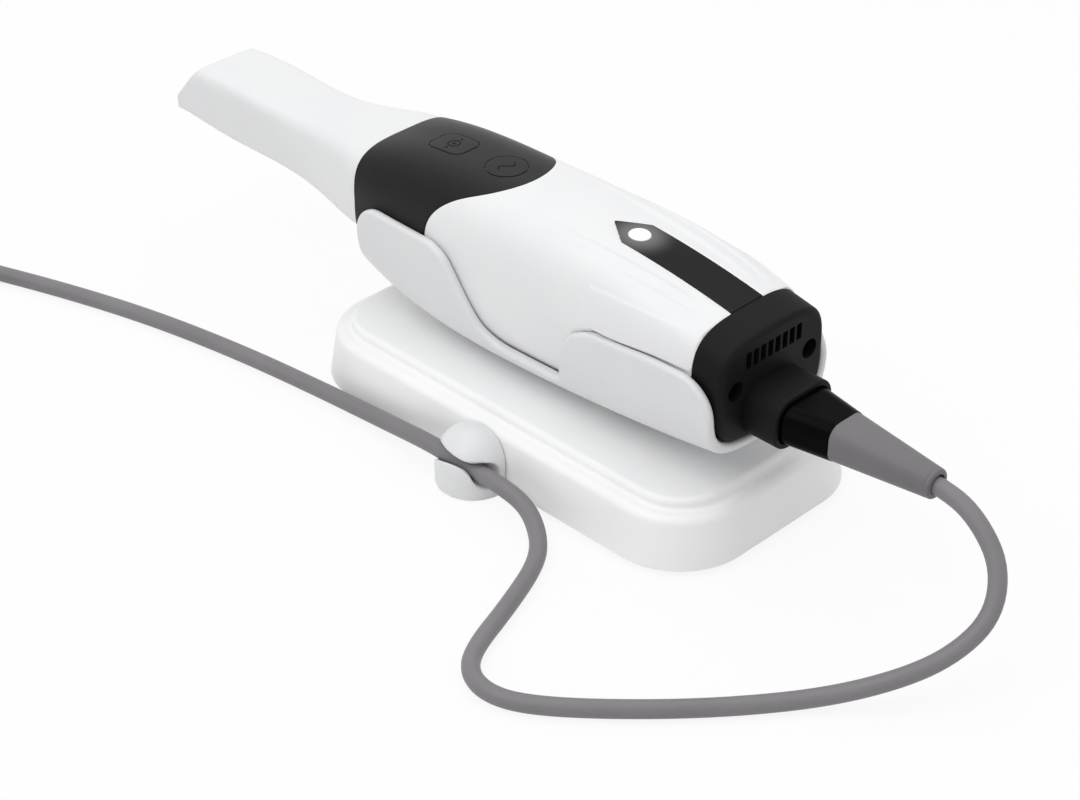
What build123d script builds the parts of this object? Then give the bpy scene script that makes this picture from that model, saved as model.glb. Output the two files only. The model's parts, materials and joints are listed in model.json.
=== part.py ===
from build123d import *

import os
from math import atan2, cos, degrees, pi, radians, sin, sqrt, tan

# Dental hand scanner lying in its desk cradle, with its lead held in the cradle's clip.
# Millimetres. The origin is on the table under the middle of the cradle base.
# +X runs along the scanner towards its lead, +Y away from the cable clip, +Z up.

os.makedirs("parts", exist_ok=True)

# Handset housing: places along X
collar_front_x = -68.7
neck_x = -52.0
belly_x = -25.0
middle_x = 10.0
shoulder_x = 40.0
cap_front_x = 58.3
cap_rear_x = 67.8

# Handset housing: half widths, underside and top at those places
front_half_width = 19.7
neck_half_width = 20.6
handset_half_width = 21.0
shoulder_half_width = 20.8
rear_half_width = 20.1
front_low = 35.0
neck_low = 28.2
belly_low = 24.4
middle_low = 25.3
shoulder_low = 28.0
rear_low = 32.0
front_top = 65.8
neck_top = 68.6
belly_top = 69.8
middle_top = 69.3
shoulder_top = 66.8
rear_top = 61.8
housing_power = 3.6
section_points = 24

# Housing walls and seams
body_wall = 2.6
front_wall = 2.5
cover_thickness = 1.2
seam = 0.15
cover_ring_x = -40.5
tongue_end_x = -17.2
pad_rise = 0.4
pad_lower_z = 54.2
side_pad_low_x = 20.6
side_pad_top_x = 23.4
side_pad_top_z = 61.4
pad_edge_radius = 4.0

# Indicator strip and its light on the top of the handset
strip_tip_x = 12.0
strip_shoulder_x = 20.3
strip_half_width = 6.0
strip_depth = 1.2
strip_proud = 0.12
strip_corner = 1.0
light_x = 21.2
light_radius = 3.0
light_proud = 0.2
light_stem = 4.0

# Keys on the top of the grip cover
scan_key_x = -48.6
scan_key_length = 12.6
scan_key_width = 10.0
scan_key_corner = 3.0
mode_key_x = -28.0
mode_key_radius = 5.8
key_gap = 0.35
key_travel = 0.5
key_depth = 5.0
key_proud = 0.08
key_flange = 1.0
key_flange_thickness = 0.65
switch_size = 6.0
switch_height = 3.2
switch_gap = 0.3
board_thickness = 1.6
key_board_width = 16.0
key_board_margin = 4.0
post_radius = 2.5
light_pipe_radius = 1.5

# Rear cap with its vents, screw wells and cable socket
cap_wall = 2.0
cap_back = 2.5
cap_edge = 1.8
vent_count = 8
vent_pitch = 2.75
vent_width = 2.0
vent_corner = 0.35
vent_low_z = 53.4
vent_high_z = 58.2
screw_y = 14.2
screw_z = 48.6
screw_well_radius = 2.75
screw_well_depth = 4.0
screw_seat_wall = 1.4
screw_boss_wall = 1.0
screw_head_radius = 2.4
screw_head_height = 1.2
screw_shank_radius = 1.2
screw_shank_length = 12.0
plug_axis_z = 40.0
socket_width = 22.2
socket_height = 15.0
socket_corner = 6.0
socket_wall = 1.4
socket_end_x = 78.5
socket_rim = 0.6

# Cable plug, its boot and the lead
plug_gap = 0.4
plug_front_x = 70.5
plug_taper_x = 79.5
plug_rear_x = 92.0
plug_rear_width = 13.6
plug_rear_height = 11.2
plug_rear_corner = 3.8
boot_step = 0.2
boot_end_x = 120.8
boot_end_diameter = 8.2
boot_lip = 1.4
boot_bore_gap = 0.35
boot_bore_depth = 8.0
receptacle_depth = 8.0
cable_diameter = 4.8

# Optics and electronics inside the handset
frame_thickness = 2.0
frame_front_half_width = 11.0
frame_half_width = 14.6
frame_front_x = -60.0
frame_rear_x = 57.0
frame_z = 37.0
frame_wall = 3.0
frame_wall_front_x = 20.0
frame_wall_top = 52.0
board_standoff = 4.0
board_front_x = -14.0
board_rear_x = 44.0
board_width = 22.0
sink_front_x = 26.0
sink_rear_x = 43.0
sink_width = 20.0
sink_base = 2.0
sink_height = 9.0
fin_thickness = 1.2
fin_count = 6
fan_size = 22.0
fan_depth = 7.0
fan_rear_x = 55.0
fan_bore_radius = 10.2
fan_tip_radius = 9.7
fan_hub_radius = 4.0
fan_pin_radius = 0.8
fan_gap = 0.3
fan_strut = 1.2
fan_strut_width = 2.4
fan_blades = 7
blade_thickness = 1.0
blade_pitch = 35.0
module_front_x = -58.0
module_rear_x = -30.0
camera_width = 11.0
module_gap = 1.0
lens_radius = 4.2
lens_length = 7.5

# Nose that carries the tip, and the tip itself
nose_width = 19.2
nose_height = 14.4
nose_corner = 4.0
nose_wall = 1.8
nose_end_x = -106.0
nose_seat_x = -80.0
nose_axis_z = 51.2
nose_flange = 3.0
nose_glass_thickness = 1.5
nose_glass_ledge = 1.0
tip_wall = 1.8
tip_gap = 0.35
tip_rear_x = -69.05
tip_step = 0.5
tip_rear_lift = 2.2
tip_end_top_x = -147.6
tip_end_x = -161.0
tip_end_top = 60.4
tip_end_low = 41.8
tip_end_half_width = 11.9
tip_mid_x = -120.0
tip_mid_half_width = 12.0
tip_mid_top = 60.7
tip_mid_low = 41.0
tip_neck_x = -97.0
tip_neck_half_width = 12.8
tip_neck_top = 61.2
tip_neck_low = 39.5
tip_flare_x = -83.0
tip_flare_half_width = 15.4
tip_flare_top = 63.3
tip_flare_low = 38.0
tip_power = 6.0
tip_mid_power = 5.0
tip_nose_radius = 3.2
tip_plan_radius = 4.5
tip_slant_low_z = 45.0
tip_edge = 1.6
window_front_x = -156.0
window_rear_x = -141.0
window_half_width = 8.0
mirror_thickness = 1.2

# Cradle base
base_length = 143.0
base_width = 72.0
base_corner = 19.0
base_wall = 2.6
shoulder_z = 16.6
plateau_z = 19.5
plateau_inset = 4.2
shoulder_fillet = 2.6
plateau_fillet = 1.6
plateau_root = 1.0
base_flare = 2.4
floor_gap = 1.8
foot_inset = 1.0
foot_thickness = 2.2
plate_thickness = 2.5
plate_gap = 0.2
boss_radius = 3.6
boss_inset_x = 17.0
boss_inset_y = 13.0
base_screw_radius = 1.2
base_screw_head_radius = 2.5
base_screw_head = 1.6
base_screw_length = 9.0
ballast_length = 84.0
ballast_width = 46.0
ballast_thickness = 8.0
ballast_corner = 6.0

# Saddle that holds the handset
saddle_gap = 0.4
saddle_wall = 2.7
saddle_front_x = -65.0
saddle_rear_x = 67.2
flap_front_top = 54.2
flap_rear_top = 52.8
valley_front_x = -13.0
valley_rear_x = 13.2
valley_z = 33.2
flap_front_rear_x = -31.0
flap_rear_front_x = 18.4
flap_front_radius = 9.0
flap_shoulder_radius = 13.0
valley_radius = 15.0
valley_rear_radius = 2.6
flap_rear_radius = 7.0
flap_end_radius = 11.0
rim_fillet = 1.2
pedestal_length = 60.0
pedestal_width = 18.0
pedestal_corner = 6.0
pedestal_x = -8.0
saddle_screw_spacing = 44.0
saddle_screw_radius = 1.5
saddle_screw_head_radius = 2.8
saddle_screw_head = 2.4
saddle_screw_length = 3.6

# Cable clip on the side of the base
clip_x = -0.5
clip_radius = 10.5
clip_axis_y = -40.0
clip_wall_height = 7.0
clip_foot_z = 0.4
clip_channel_y = -44.2
clip_channel_z = 8.0
clip_channel_gap = 0.4
clip_slot_width = 2.6
clip_slot_angle = 38.0
clip_mouth_radius = 5.6
clip_mouth_depth = 4.0

# Coil of the rest of the lead, its tie and its plug
coil_x = -201.5
coil_y = -113.0
coil_middle_radius = 27.2
coil_pitch = 4.9
coil_columns = 4
coil_layers = 2
tie_thickness = 0.9
tie_gap = 0.3
tie_width = 11.0
tie_angle = 20.0
end_plug_length = 22.0
end_plug_width = 15.6
end_plug_height = 8.0
end_plug_corner = 2.4
end_relief_length = 9.0
end_relief_diameter = 6.4
end_shell_length = 12.0
end_shell_width = 12.0
end_shell_height = 4.5
end_shell_wall = 0.4
end_tongue_height = 1.9
end_plug_angle = 170.0

overshoot = 40.0


def section_face(x, half_width, low, high, power):
    """One cross-section of a moulded housing: a superellipse standing across X."""
    middle_z = (low + high) / 2
    half_height = (high - low) / 2
    outline = []
    for step in range(section_points):
        turn = 2 * pi * step / section_points - pi / 2
        across = abs(cos(turn)) ** (2 / power) * half_width
        upright = abs(sin(turn)) ** (2 / power) * half_height
        side = 1 if cos(turn) >= 0 else -1
        end = 1 if sin(turn) >= 0 else -1
        outline.append((side * across, middle_z + end * upright))
    with BuildSketch(Plane.YZ.offset(x)) as section:
        with BuildLine():
            Spline(*outline, periodic=True)
        make_face()
    return section.sketch


handset_stations = [
    (collar_front_x, front_half_width, front_low, front_top),
    (neck_x, neck_half_width, neck_low, neck_top),
    (belly_x, handset_half_width, belly_low, belly_top),
    (middle_x, handset_half_width, middle_low, middle_top),
    (shoulder_x, shoulder_half_width, shoulder_low, shoulder_top),
    (cap_rear_x, rear_half_width, rear_low, rear_top),
]


def handset_form(grow):
    """The whole handset outline as a solid, grown outwards by one distance."""
    return shaped_form([grow] * len(handset_stations))


def shaped_form(grows):
    """The handset outline with a growth of its own at each station."""
    sections = []
    for (x, half_width, low, high), grow in zip(handset_stations, grows):
        sections.append(section_face(x, half_width + grow, low - grow, high + grow, housing_power))
    with BuildPart() as form:
        loft(sections=sections)
    return form.part


tip_rear_half_width = front_half_width - tip_step
tip_rear_low = front_low + tip_step + tip_rear_lift
tip_rear_top = front_top - tip_step
tip_stations = [
    (tip_rear_x, tip_rear_half_width, tip_rear_low, tip_rear_top, housing_power),
    (tip_flare_x, tip_flare_half_width, tip_flare_low, tip_flare_top, tip_mid_power),
    (tip_neck_x, tip_neck_half_width, tip_neck_low, tip_neck_top, tip_mid_power),
    (tip_mid_x, tip_mid_half_width, tip_mid_low, tip_mid_top, tip_power),
    (tip_end_top_x, tip_end_half_width, tip_end_low, tip_end_top, tip_power),
    (tip_end_x - tip_nose_radius, tip_end_half_width, tip_end_low, tip_end_top, tip_power),
]


def tip_form(grow):
    """The tip outline as a solid that runs past its slanted end, grown outwards."""
    sections = []
    for x, half_width, low, high, power in tip_stations:
        sections.append(section_face(x, half_width + grow, low - grow, high + grow, power))
    with BuildPart() as form:
        loft(sections=sections)
    return form.part


slant_run = tip_end_top_x - tip_end_x
slant_rise = tip_end_top - tip_slant_low_z
slant_angle = degrees(atan2(slant_rise, slant_run))


def tip_side(inset):
    """Side view of the tip's slanted end as a slab, moved inwards by a distance."""
    shift = inset / sin(radians(slant_angle))
    low_x = tip_end_x + shift
    top_x = tip_end_top_x + shift
    reach = overshoot / tan(radians(slant_angle))
    corner_radius = tip_nose_radius - inset if inset < tip_nose_radius - tip_edge else tip_edge
    bottom_x = low_x - (tip_slant_low_z - tip_end_low - inset) / tan(radians(slant_angle))
    with BuildPart() as slab:
        with BuildSketch(Plane.XZ):
            with BuildLine():
                FilletPolyline(
                    (cap_front_x, tip_end_top + overshoot),
                    (top_x + reach, tip_end_top + overshoot),
                    (bottom_x, tip_end_low + inset),
                    (tip_end_top_x, tip_end_low + inset),
                    (tip_end_top_x, -overshoot),
                    (cap_front_x, -overshoot),
                    radius=[0, 0, corner_radius, 0, 0, 0],
                    close=True,
                )
            make_face()
        extrude(amount=overshoot, both=True)
    return slab.part


def cover_region(grow):
    """Everything covered by the dark grip cover: a ring round the front and a tongue on top."""
    tongue = [
        (cover_ring_x, handset_half_width + 0.1),
        (tongue_end_x - 18.7, 0.948 * handset_half_width),
        (tongue_end_x - 10.4, 0.776 * handset_half_width),
        (tongue_end_x - 4.7, 0.595 * handset_half_width),
        (tongue_end_x - 1.3, 0.348 * handset_half_width),
        (tongue_end_x, 0),
    ]
    outline = [(x + grow, y + grow) for x, y in tongue[:-1]]
    outline += [(tongue_end_x + grow, 0)]
    outline += [(x, -y) for x, y in reversed(outline[:-1])]
    ring_z = (belly_low + belly_top) / 2
    with BuildPart() as region:
        with BuildSketch(Plane.XY.offset(ring_z)):
            with BuildLine():
                edge = Spline(*outline)
                Line(edge @ 1, edge @ 0)
            make_face()
        extrude(amount=overshoot)
        with BuildSketch(Plane.YZ.offset(collar_front_x - overshoot)):
            with Locations((0, ring_z)):
                Rectangle(2 * overshoot, 2 * overshoot)
        extrude(amount=cover_ring_x + grow - collar_front_x + overshoot)
    return region.part


def scan_key_outline(plane, inset):
    """Rounded rectangle of the scan key."""
    with BuildSketch(plane) as outline:
        with Locations((scan_key_x, 0)):
            RectangleRounded(scan_key_length - 2 * inset, scan_key_width - 2 * inset, scan_key_corner - inset)
    return outline.sketch


def mode_key_outline(plane, inset):
    """Round outline of the mode key."""
    with BuildSketch(plane) as outline:
        with Locations((mode_key_x, 0)):
            Circle(mode_key_radius - inset)
    return outline.sketch


def strip_outline(plane, inset):
    """Long strip with a pointed front end, running back to the rear cap."""
    half = strip_half_width - inset
    with BuildSketch(plane) as outline:
        with BuildLine():
            FilletPolyline(
                (cap_front_x - seam - inset, half),
                (strip_shoulder_x + inset, half),
                (strip_tip_x + inset, 0),
                (strip_shoulder_x + inset, -half),
                (cap_front_x - seam - inset, -half),
                radius=[strip_corner, strip_corner / 2, strip_corner],
            )
            Line((cap_front_x - seam - inset, -half), (cap_front_x - seam - inset, half))
        make_face()
    return outline.sketch


def socket_section(plane, inset):
    """Rounded section of the cable socket, shrunk by a distance."""
    with BuildSketch(plane) as section:
        with Locations((0, plug_axis_z)):
            RectangleRounded(socket_width - 2 * inset, socket_height - 2 * inset, socket_corner - inset)
    return section.sketch


top_plane = Plane.XY.offset(belly_top + overshoot / 4)
key_floor_z = belly_top - key_depth
key_plane = Plane.XY.offset(key_floor_z)
outer_form = handset_form(0)
skin_form = handset_form(-cover_thickness)
cavity_form = handset_form(-body_wall)

# Raised grip pads on both sides of the handset's top: they swell out of the housing and fade again
pad_lines = [
    (-8.0, 13.6, 62.0, 9.6, [-0.9, -0.9, -pad_rise, pad_rise, pad_rise, -1.2]),
    (7.0, 16.9, 64.0, 12.9, [-1.2, -1.2, -3 * pad_rise, pad_rise, 2 * pad_rise, -1.2]),
]
side_pad_grows = [-1.2, -1.2, -1.2, pad_rise / 2, 3 * pad_rise, -1.2]


def grip_pad(start_x, start_y, end_x, end_y, grows):
    """One raised pad beside the strip, from its inner edge down to the ledge on the side."""
    with BuildPart() as pad:
        add(shaped_form(grows))
        with BuildSketch(Plane.XY.offset(pad_lower_z)):
            with BuildLine():
                FilletPolyline(
                    (end_x, -end_y),
                    (start_x, -start_y + pad_rise),
                    (start_x, -overshoot),
                    (end_x, -overshoot),
                    radius=[0, pad_edge_radius, 0, 0],
                    close=True,
                )
            make_face()
        extrude(amount=overshoot, mode=Mode.INTERSECT)
    return pad.part


# Third step of the grip, low on both sides
with BuildPart() as side_pads:
    add(shaped_form(side_pad_grows))
    with BuildSketch(Plane.XZ):
        with BuildLine():
            FilletPolyline(
                (side_pad_low_x, pad_lower_z),
                (side_pad_top_x, side_pad_top_z),
                (cap_front_x, side_pad_top_z),
                (cap_front_x, pad_lower_z),
                radius=[0, pad_edge_radius, 0, 0],
                close=True,
            )
        make_face()
    extrude(amount=overshoot, both=True, mode=Mode.INTERSECT)

# White housing of the handset: one moulded sleeve from the collar to the rear cap
with BuildPart() as body_shell:
    add(outer_form)
    add(side_pads.part)
    for pad_line in pad_lines:
        pad = grip_pad(*pad_line)
        add(pad)
        add(pad.mirror(Plane.XZ))
    split(bisect_by=Plane.YZ.offset(cap_front_x), keep=Keep.BOTTOM)
    with BuildPart(mode=Mode.PRIVATE) as cavity:
        add(cavity_form)
        split(bisect_by=Plane.YZ.offset(collar_front_x + front_wall), keep=Keep.TOP)
    add(cavity.part, mode=Mode.SUBTRACT)
    with BuildPart(mode=Mode.PRIVATE) as cover_space:
        add(handset_form(overshoot / 10))
        add(handset_form(-cover_thickness - seam), mode=Mode.SUBTRACT)
        add(cover_region(seam), mode=Mode.INTERSECT)
    add(cover_space.part, mode=Mode.SUBTRACT)
    with BuildPart(mode=Mode.PRIVATE) as strip_pocket:
        extrude(strip_outline(top_plane, -seam), amount=-overshoot)
        add(handset_form(-strip_depth - seam), mode=Mode.SUBTRACT)
    add(strip_pocket.part, mode=Mode.SUBTRACT)
    extrude(scan_key_outline(key_plane, -key_gap), amount=overshoot, mode=Mode.SUBTRACT)
    extrude(mode_key_outline(key_plane, -key_gap), amount=overshoot, mode=Mode.SUBTRACT)
    with BuildSketch(Plane.XY.offset(middle_top - light_stem - body_wall)):
        with Locations((light_x, 0)):
            Circle(light_radius + seam)
    extrude(amount=overshoot, mode=Mode.SUBTRACT)
    with BuildSketch(Plane.YZ.offset(collar_front_x - overshoot)):
        with Locations((0, nose_axis_z)):
            RectangleRounded(nose_width + 2 * seam, nose_height + 2 * seam, nose_corner + seam)
    extrude(amount=2 * overshoot, mode=Mode.SUBTRACT)
body_shell.part.label = "body_shell"
export_step(body_shell.part, "parts/body_shell.step")

# Dark soft skin round the front of the handset
with BuildPart() as grip_cover:
    add(outer_form)
    add(skin_form, mode=Mode.SUBTRACT)
    add(cover_region(0), mode=Mode.INTERSECT)
    extrude(scan_key_outline(key_plane, -key_gap), amount=overshoot, mode=Mode.SUBTRACT)
    extrude(mode_key_outline(key_plane, -key_gap), amount=overshoot, mode=Mode.SUBTRACT)
grip_cover.part.label = "grip_cover"
export_step(grip_cover.part, "parts/grip_cover.step")

# Keys: flush caps with a flange that holds them under the housing
with BuildPart() as scan_key:
    extrude(scan_key_outline(key_plane, 0), amount=overshoot)
    add(handset_form(key_proud), mode=Mode.INTERSECT)
    extrude(scan_key_outline(key_plane, -key_flange), amount=key_flange_thickness)
scan_key.part.label = "scan_key"
export_step(scan_key.part, "parts/scan_key.step")

with BuildPart() as mode_key:
    extrude(mode_key_outline(key_plane, 0), amount=overshoot)
    add(handset_form(key_proud), mode=Mode.INTERSECT)
    extrude(mode_key_outline(key_plane, -key_flange), amount=key_flange_thickness)
mode_key.part.label = "mode_key"
export_step(mode_key.part, "parts/mode_key.step")

# Switches under the keys, on their board
switch_top_z = key_floor_z - key_travel - switch_gap
key_board_z = switch_top_z - switch_height
with BuildPart() as key_switches:
    with BuildSketch(Plane.XY.offset(key_board_z)):
        with Locations((scan_key_x, 0), (mode_key_x, 0)):
            Rectangle(switch_size, switch_size)
    extrude(amount=switch_height / 2)
    with BuildSketch(Plane.XY.offset(key_board_z)):
        with Locations((scan_key_x, 0), (mode_key_x, 0)):
            Circle(switch_size / 4)
    extrude(amount=switch_height)
key_switches.part.label = "key_switches"
export_step(key_switches.part, "parts/key_switches.step")

key_board_front_x = scan_key_x - scan_key_length / 2 - key_board_margin
key_board_rear_x = mode_key_x + mode_key_radius + key_board_margin
with BuildPart() as key_board:
    with BuildSketch(Plane.XY.offset(key_board_z - board_thickness)):
        with Locations(((key_board_front_x + key_board_rear_x) / 2, 0)):
            RectangleRounded(key_board_rear_x - key_board_front_x, key_board_width, 1)
    extrude(amount=board_thickness)
key_board.part.label = "key_board"
export_step(key_board.part, "parts/key_board.step")

# Black inlay strip and the light in its front end
with BuildPart() as status_strip:
    extrude(strip_outline(top_plane, 0), amount=-overshoot)
    add(handset_form(strip_proud), mode=Mode.INTERSECT)
    add(handset_form(-strip_depth), mode=Mode.SUBTRACT)
    with BuildSketch(top_plane):
        with Locations((light_x, 0)):
            Circle(light_radius + seam)
    extrude(amount=-overshoot, mode=Mode.SUBTRACT)
status_strip.part.label = "status_strip"
export_step(status_strip.part, "parts/status_strip.step")

board_low_z = frame_z + frame_thickness / 2 + board_standoff
board_top_z = board_low_z + board_thickness
with BuildPart() as status_light:
    with BuildSketch(Plane.XY.offset(middle_top - light_stem)):
        with Locations((light_x, 0)):
            Circle(light_radius)
    extrude(amount=overshoot)
    add(handset_form(light_proud), mode=Mode.INTERSECT)
    with BuildSketch(Plane.XY.offset(board_top_z)):
        with Locations((light_x, 0)):
            Circle(light_pipe_radius)
    extrude(amount=middle_top - light_stem - board_top_z)
status_light.part.label = "status_light"
export_step(status_light.part, "parts/status_light.step")

# Rear cap: vents, two screw wells and the socket for the cable plug
cap_inner_x = cap_rear_x - cap_back
screw_seat_x = cap_rear_x - screw_well_depth
cap_boss_x = screw_seat_x - screw_seat_wall
with BuildPart() as rear_cap:
    add(outer_form)
    split(bisect_by=Plane.YZ.offset(cap_front_x), keep=Keep.TOP)
    rear_edges = rear_cap.faces().sort_by(Axis.X)[-1].edges()
    fillet(rear_edges, cap_edge)
    with BuildPart(mode=Mode.PRIVATE) as cap_space:
        add(handset_form(-cap_wall))
        split(bisect_by=Plane.YZ.offset(cap_inner_x), keep=Keep.BOTTOM)
    add(cap_space.part, mode=Mode.SUBTRACT)
    with BuildSketch(Plane.YZ.offset(cap_inner_x)):
        with Locations((0, (vent_low_z + vent_high_z) / 2)):
            with GridLocations(vent_pitch, 0, vent_count, 1):
                RectangleRounded(vent_width, vent_high_z - vent_low_z, vent_corner)
    extrude(amount=overshoot, mode=Mode.SUBTRACT)
    extrude(socket_section(Plane.YZ.offset(cap_inner_x), 0), amount=socket_end_x - cap_inner_x)
    socket_edges = rear_cap.faces().sort_by(Axis.X)[-1].edges()
    fillet(socket_edges, socket_rim)
    extrude(socket_section(Plane.YZ.offset(cap_front_x), socket_wall), amount=overshoot, mode=Mode.SUBTRACT)
    with BuildSketch(Plane.YZ.offset(cap_boss_x)):
        with Locations((-screw_y, screw_z), (screw_y, screw_z)):
            Circle(screw_well_radius + screw_boss_wall)
    extrude(amount=cap_inner_x - cap_boss_x)
    with BuildSketch(Plane.YZ.offset(screw_seat_x)):
        with Locations((-screw_y, screw_z), (screw_y, screw_z)):
            Circle(screw_well_radius)
    extrude(amount=overshoot, mode=Mode.SUBTRACT)
    with BuildSketch(Plane.YZ.offset(cap_boss_x)):
        with Locations((-screw_y, screw_z), (screw_y, screw_z)):
            Circle(screw_shank_radius + seam)
    extrude(amount=overshoot, mode=Mode.SUBTRACT)
rear_cap.part.label = "rear_cap"
export_step(rear_cap.part, "parts/rear_cap.step")

with BuildPart() as cap_screws:
    with BuildSketch(Plane.YZ.offset(screw_seat_x)):
        with Locations((-screw_y, screw_z), (screw_y, screw_z)):
            Circle(screw_head_radius)
            RegularPolygon(screw_shank_radius, 6, mode=Mode.SUBTRACT)
    extrude(amount=screw_head_height)
    with BuildSketch(Plane.YZ.offset(screw_seat_x + screw_head_height / 2)):
        with Locations((-screw_y, screw_z), (screw_y, screw_z)):
            Circle(screw_shank_radius)
    extrude(amount=-screw_shank_length)
cap_screws.part.label = "cap_screws"
export_step(cap_screws.part, "parts/cap_screws.step")

with BuildPart() as cable_receptacle:
    extrude(
        socket_section(Plane.YZ.offset(plug_front_x), socket_wall + seam),
        amount=-receptacle_depth,
    )
cable_receptacle.part.label = "cable_receptacle"
export_step(cable_receptacle.part, "parts/cable_receptacle.step")

# Frame inside the handset, with posts for the main board and bosses for the cap screws
frame_low_z = frame_z - frame_thickness / 2
frame_top_z = frame_z + frame_thickness / 2
with BuildPart() as inner_frame:
    with BuildSketch(Plane.XY.offset(frame_low_z)):
        with Locations(((frame_front_x + frame_wall_front_x) / 2, 0)):
            Rectangle(frame_wall_front_x - frame_front_x, 2 * frame_front_half_width)
        with Locations(((frame_wall_front_x + frame_rear_x) / 2, 0)):
            Rectangle(frame_rear_x - frame_wall_front_x, 2 * frame_half_width)
    extrude(amount=frame_thickness)
    with BuildSketch(Plane.XY.offset(frame_top_z)):
        with Locations(
            ((frame_wall_front_x + frame_rear_x) / 2, frame_half_width - frame_wall / 2),
            ((frame_wall_front_x + frame_rear_x) / 2, -frame_half_width + frame_wall / 2),
        ):
            Rectangle(frame_rear_x - frame_wall_front_x, frame_wall)
    extrude(amount=frame_wall_top - frame_top_z)
    with BuildSketch(Plane.XY.offset(frame_top_z)):
        with Locations(((board_front_x + board_rear_x) / 2, 0)):
            with GridLocations(board_rear_x - board_front_x - 3 * post_radius, 14, 2, 2):
                Circle(post_radius)
    extrude(amount=board_standoff)
    with BuildSketch(Plane.YZ.offset(frame_rear_x - frame_wall)):
        with Locations((-screw_y, screw_z), (screw_y, screw_z)):
            Circle(screw_well_radius)
    extrude(amount=cap_boss_x - frame_rear_x + frame_wall)
    with BuildSketch(Plane.YZ.offset(cap_boss_x)):
        with Locations((-screw_y, screw_z), (screw_y, screw_z)):
            Circle(screw_shank_radius + seam)
    extrude(amount=-screw_shank_length, mode=Mode.SUBTRACT)
inner_frame.part.label = "inner_frame"
export_step(inner_frame.part, "parts/inner_frame.step")

with BuildPart() as main_board:
    with BuildSketch(Plane.XY.offset(board_low_z)):
        with Locations(((board_front_x + board_rear_x) / 2, 0)):
            RectangleRounded(board_rear_x - board_front_x, board_width, 1)
    extrude(amount=board_thickness)
main_board.part.label = "main_board"
export_step(main_board.part, "parts/main_board.step")

with BuildPart() as heat_sink:
    with BuildSketch(Plane.XY.offset(board_top_z)):
        with Locations(((sink_front_x + sink_rear_x) / 2, 0)):
            Rectangle(sink_rear_x - sink_front_x, sink_width)
    extrude(amount=sink_base)
    with BuildSketch(Plane.XY.offset(board_top_z)):
        with Locations(((sink_front_x + sink_rear_x) / 2, 0)):
            with GridLocations(0, (sink_width - fin_thickness) / (fin_count - 1), 1, fin_count):
                Rectangle(sink_rear_x - sink_front_x, fin_thickness)
    extrude(amount=sink_height)
heat_sink.part.label = "heat_sink"
export_step(heat_sink.part, "parts/heat_sink.step")

# Fan behind the heat sink
fan_front_x = fan_rear_x - fan_depth
fan_z = frame_top_z + fan_size / 2
with BuildPart() as fan_frame:
    with BuildSketch(Plane.YZ.offset(fan_front_x)):
        with Locations((0, fan_z)):
            Rectangle(fan_size, fan_size)
            Circle(fan_bore_radius, mode=Mode.SUBTRACT)
    extrude(amount=fan_depth)
    with BuildSketch(Plane.YZ.offset(fan_rear_x - fan_strut)):
        with Locations((0, fan_z)):
            Rectangle(fan_strut_width, fan_size)
            Rectangle(fan_size, fan_strut_width)
            Circle(fan_hub_radius)
    extrude(amount=fan_strut)
    with BuildSketch(Plane.YZ.offset(fan_rear_x - fan_strut)):
        with Locations((0, fan_z)):
            Circle(fan_pin_radius)
    extrude(amount=fan_strut + fan_gap - fan_depth)
fan_frame.part.label = "fan_frame"
export_step(fan_frame.part, "parts/fan_frame.step")

rotor_length = fan_depth - fan_strut - 2 * fan_gap
rotor_x = fan_front_x + fan_gap + rotor_length / 2
blade_length = fan_tip_radius - fan_hub_radius / 2
blade_chord = (rotor_length - blade_thickness) / cos(radians(blade_pitch))
with BuildPart() as fan_rotor:
    with BuildSketch(Plane.YZ.offset(rotor_x - rotor_length / 2)):
        with Locations((0, fan_z)):
            Circle(fan_hub_radius)
    extrude(amount=rotor_length)
    for blade in range(fan_blades):
        turned = Location((rotor_x, 0, fan_z), (360 * blade / fan_blades, 0, 0))
        tilted = Location((0, 0, fan_tip_radius - blade_length / 2), (0, 0, blade_pitch))
        with Locations(turned * tilted):
            Box(blade_chord, blade_thickness, blade_length)
    with BuildSketch(Plane.YZ.offset(rotor_x - rotor_length)):
        with Locations((0, fan_z)):
            Circle(fan_pin_radius + fan_gap)
    extrude(amount=2 * rotor_length, mode=Mode.SUBTRACT)
    with BuildSketch(Plane.YZ.offset(rotor_x - rotor_length)):
        with Locations((0, fan_z)):
            Circle(fan_tip_radius)
    extrude(amount=2 * rotor_length, mode=Mode.INTERSECT)
fan_rotor.part.label = "fan_rotor"
export_step(fan_rotor.part, "parts/fan_rotor.step")

# Camera and projector: side by side on the frame, under the key board, looking out through the nose
module_top_z = key_board_z - board_thickness


def optical_module(side_y):
    """A block on the frame with a lens barrel on its front."""
    with BuildPart() as module:
        with BuildSketch(Plane.XY.offset(frame_top_z)):
            with Locations(((module_front_x + module_rear_x) / 2, side_y)):
                Rectangle(module_rear_x - module_front_x, camera_width)
        extrude(amount=module_top_z - frame_top_z)
        with BuildSketch(Plane.YZ.offset(module_front_x)):
            with Locations((side_y, nose_axis_z)):
                Circle(lens_radius)
        extrude(amount=-lens_length)
        with BuildSketch(Plane.YZ.offset(module_front_x - lens_length)):
            with Locations((side_y, nose_axis_z)):
                Circle(lens_radius - nose_wall / 2)
        extrude(amount=nose_wall, mode=Mode.SUBTRACT)
    return module.part


module_y = (camera_width + module_gap) / 2
with BuildPart() as camera_module:
    add(optical_module(-module_y))
camera_module.part.label = "camera_module"
export_step(camera_module.part, "parts/camera_module.step")

with BuildPart() as projector_module:
    add(optical_module(module_y))
projector_module.part.label = "projector_module"
export_step(projector_module.part, "parts/projector_module.step")


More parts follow.
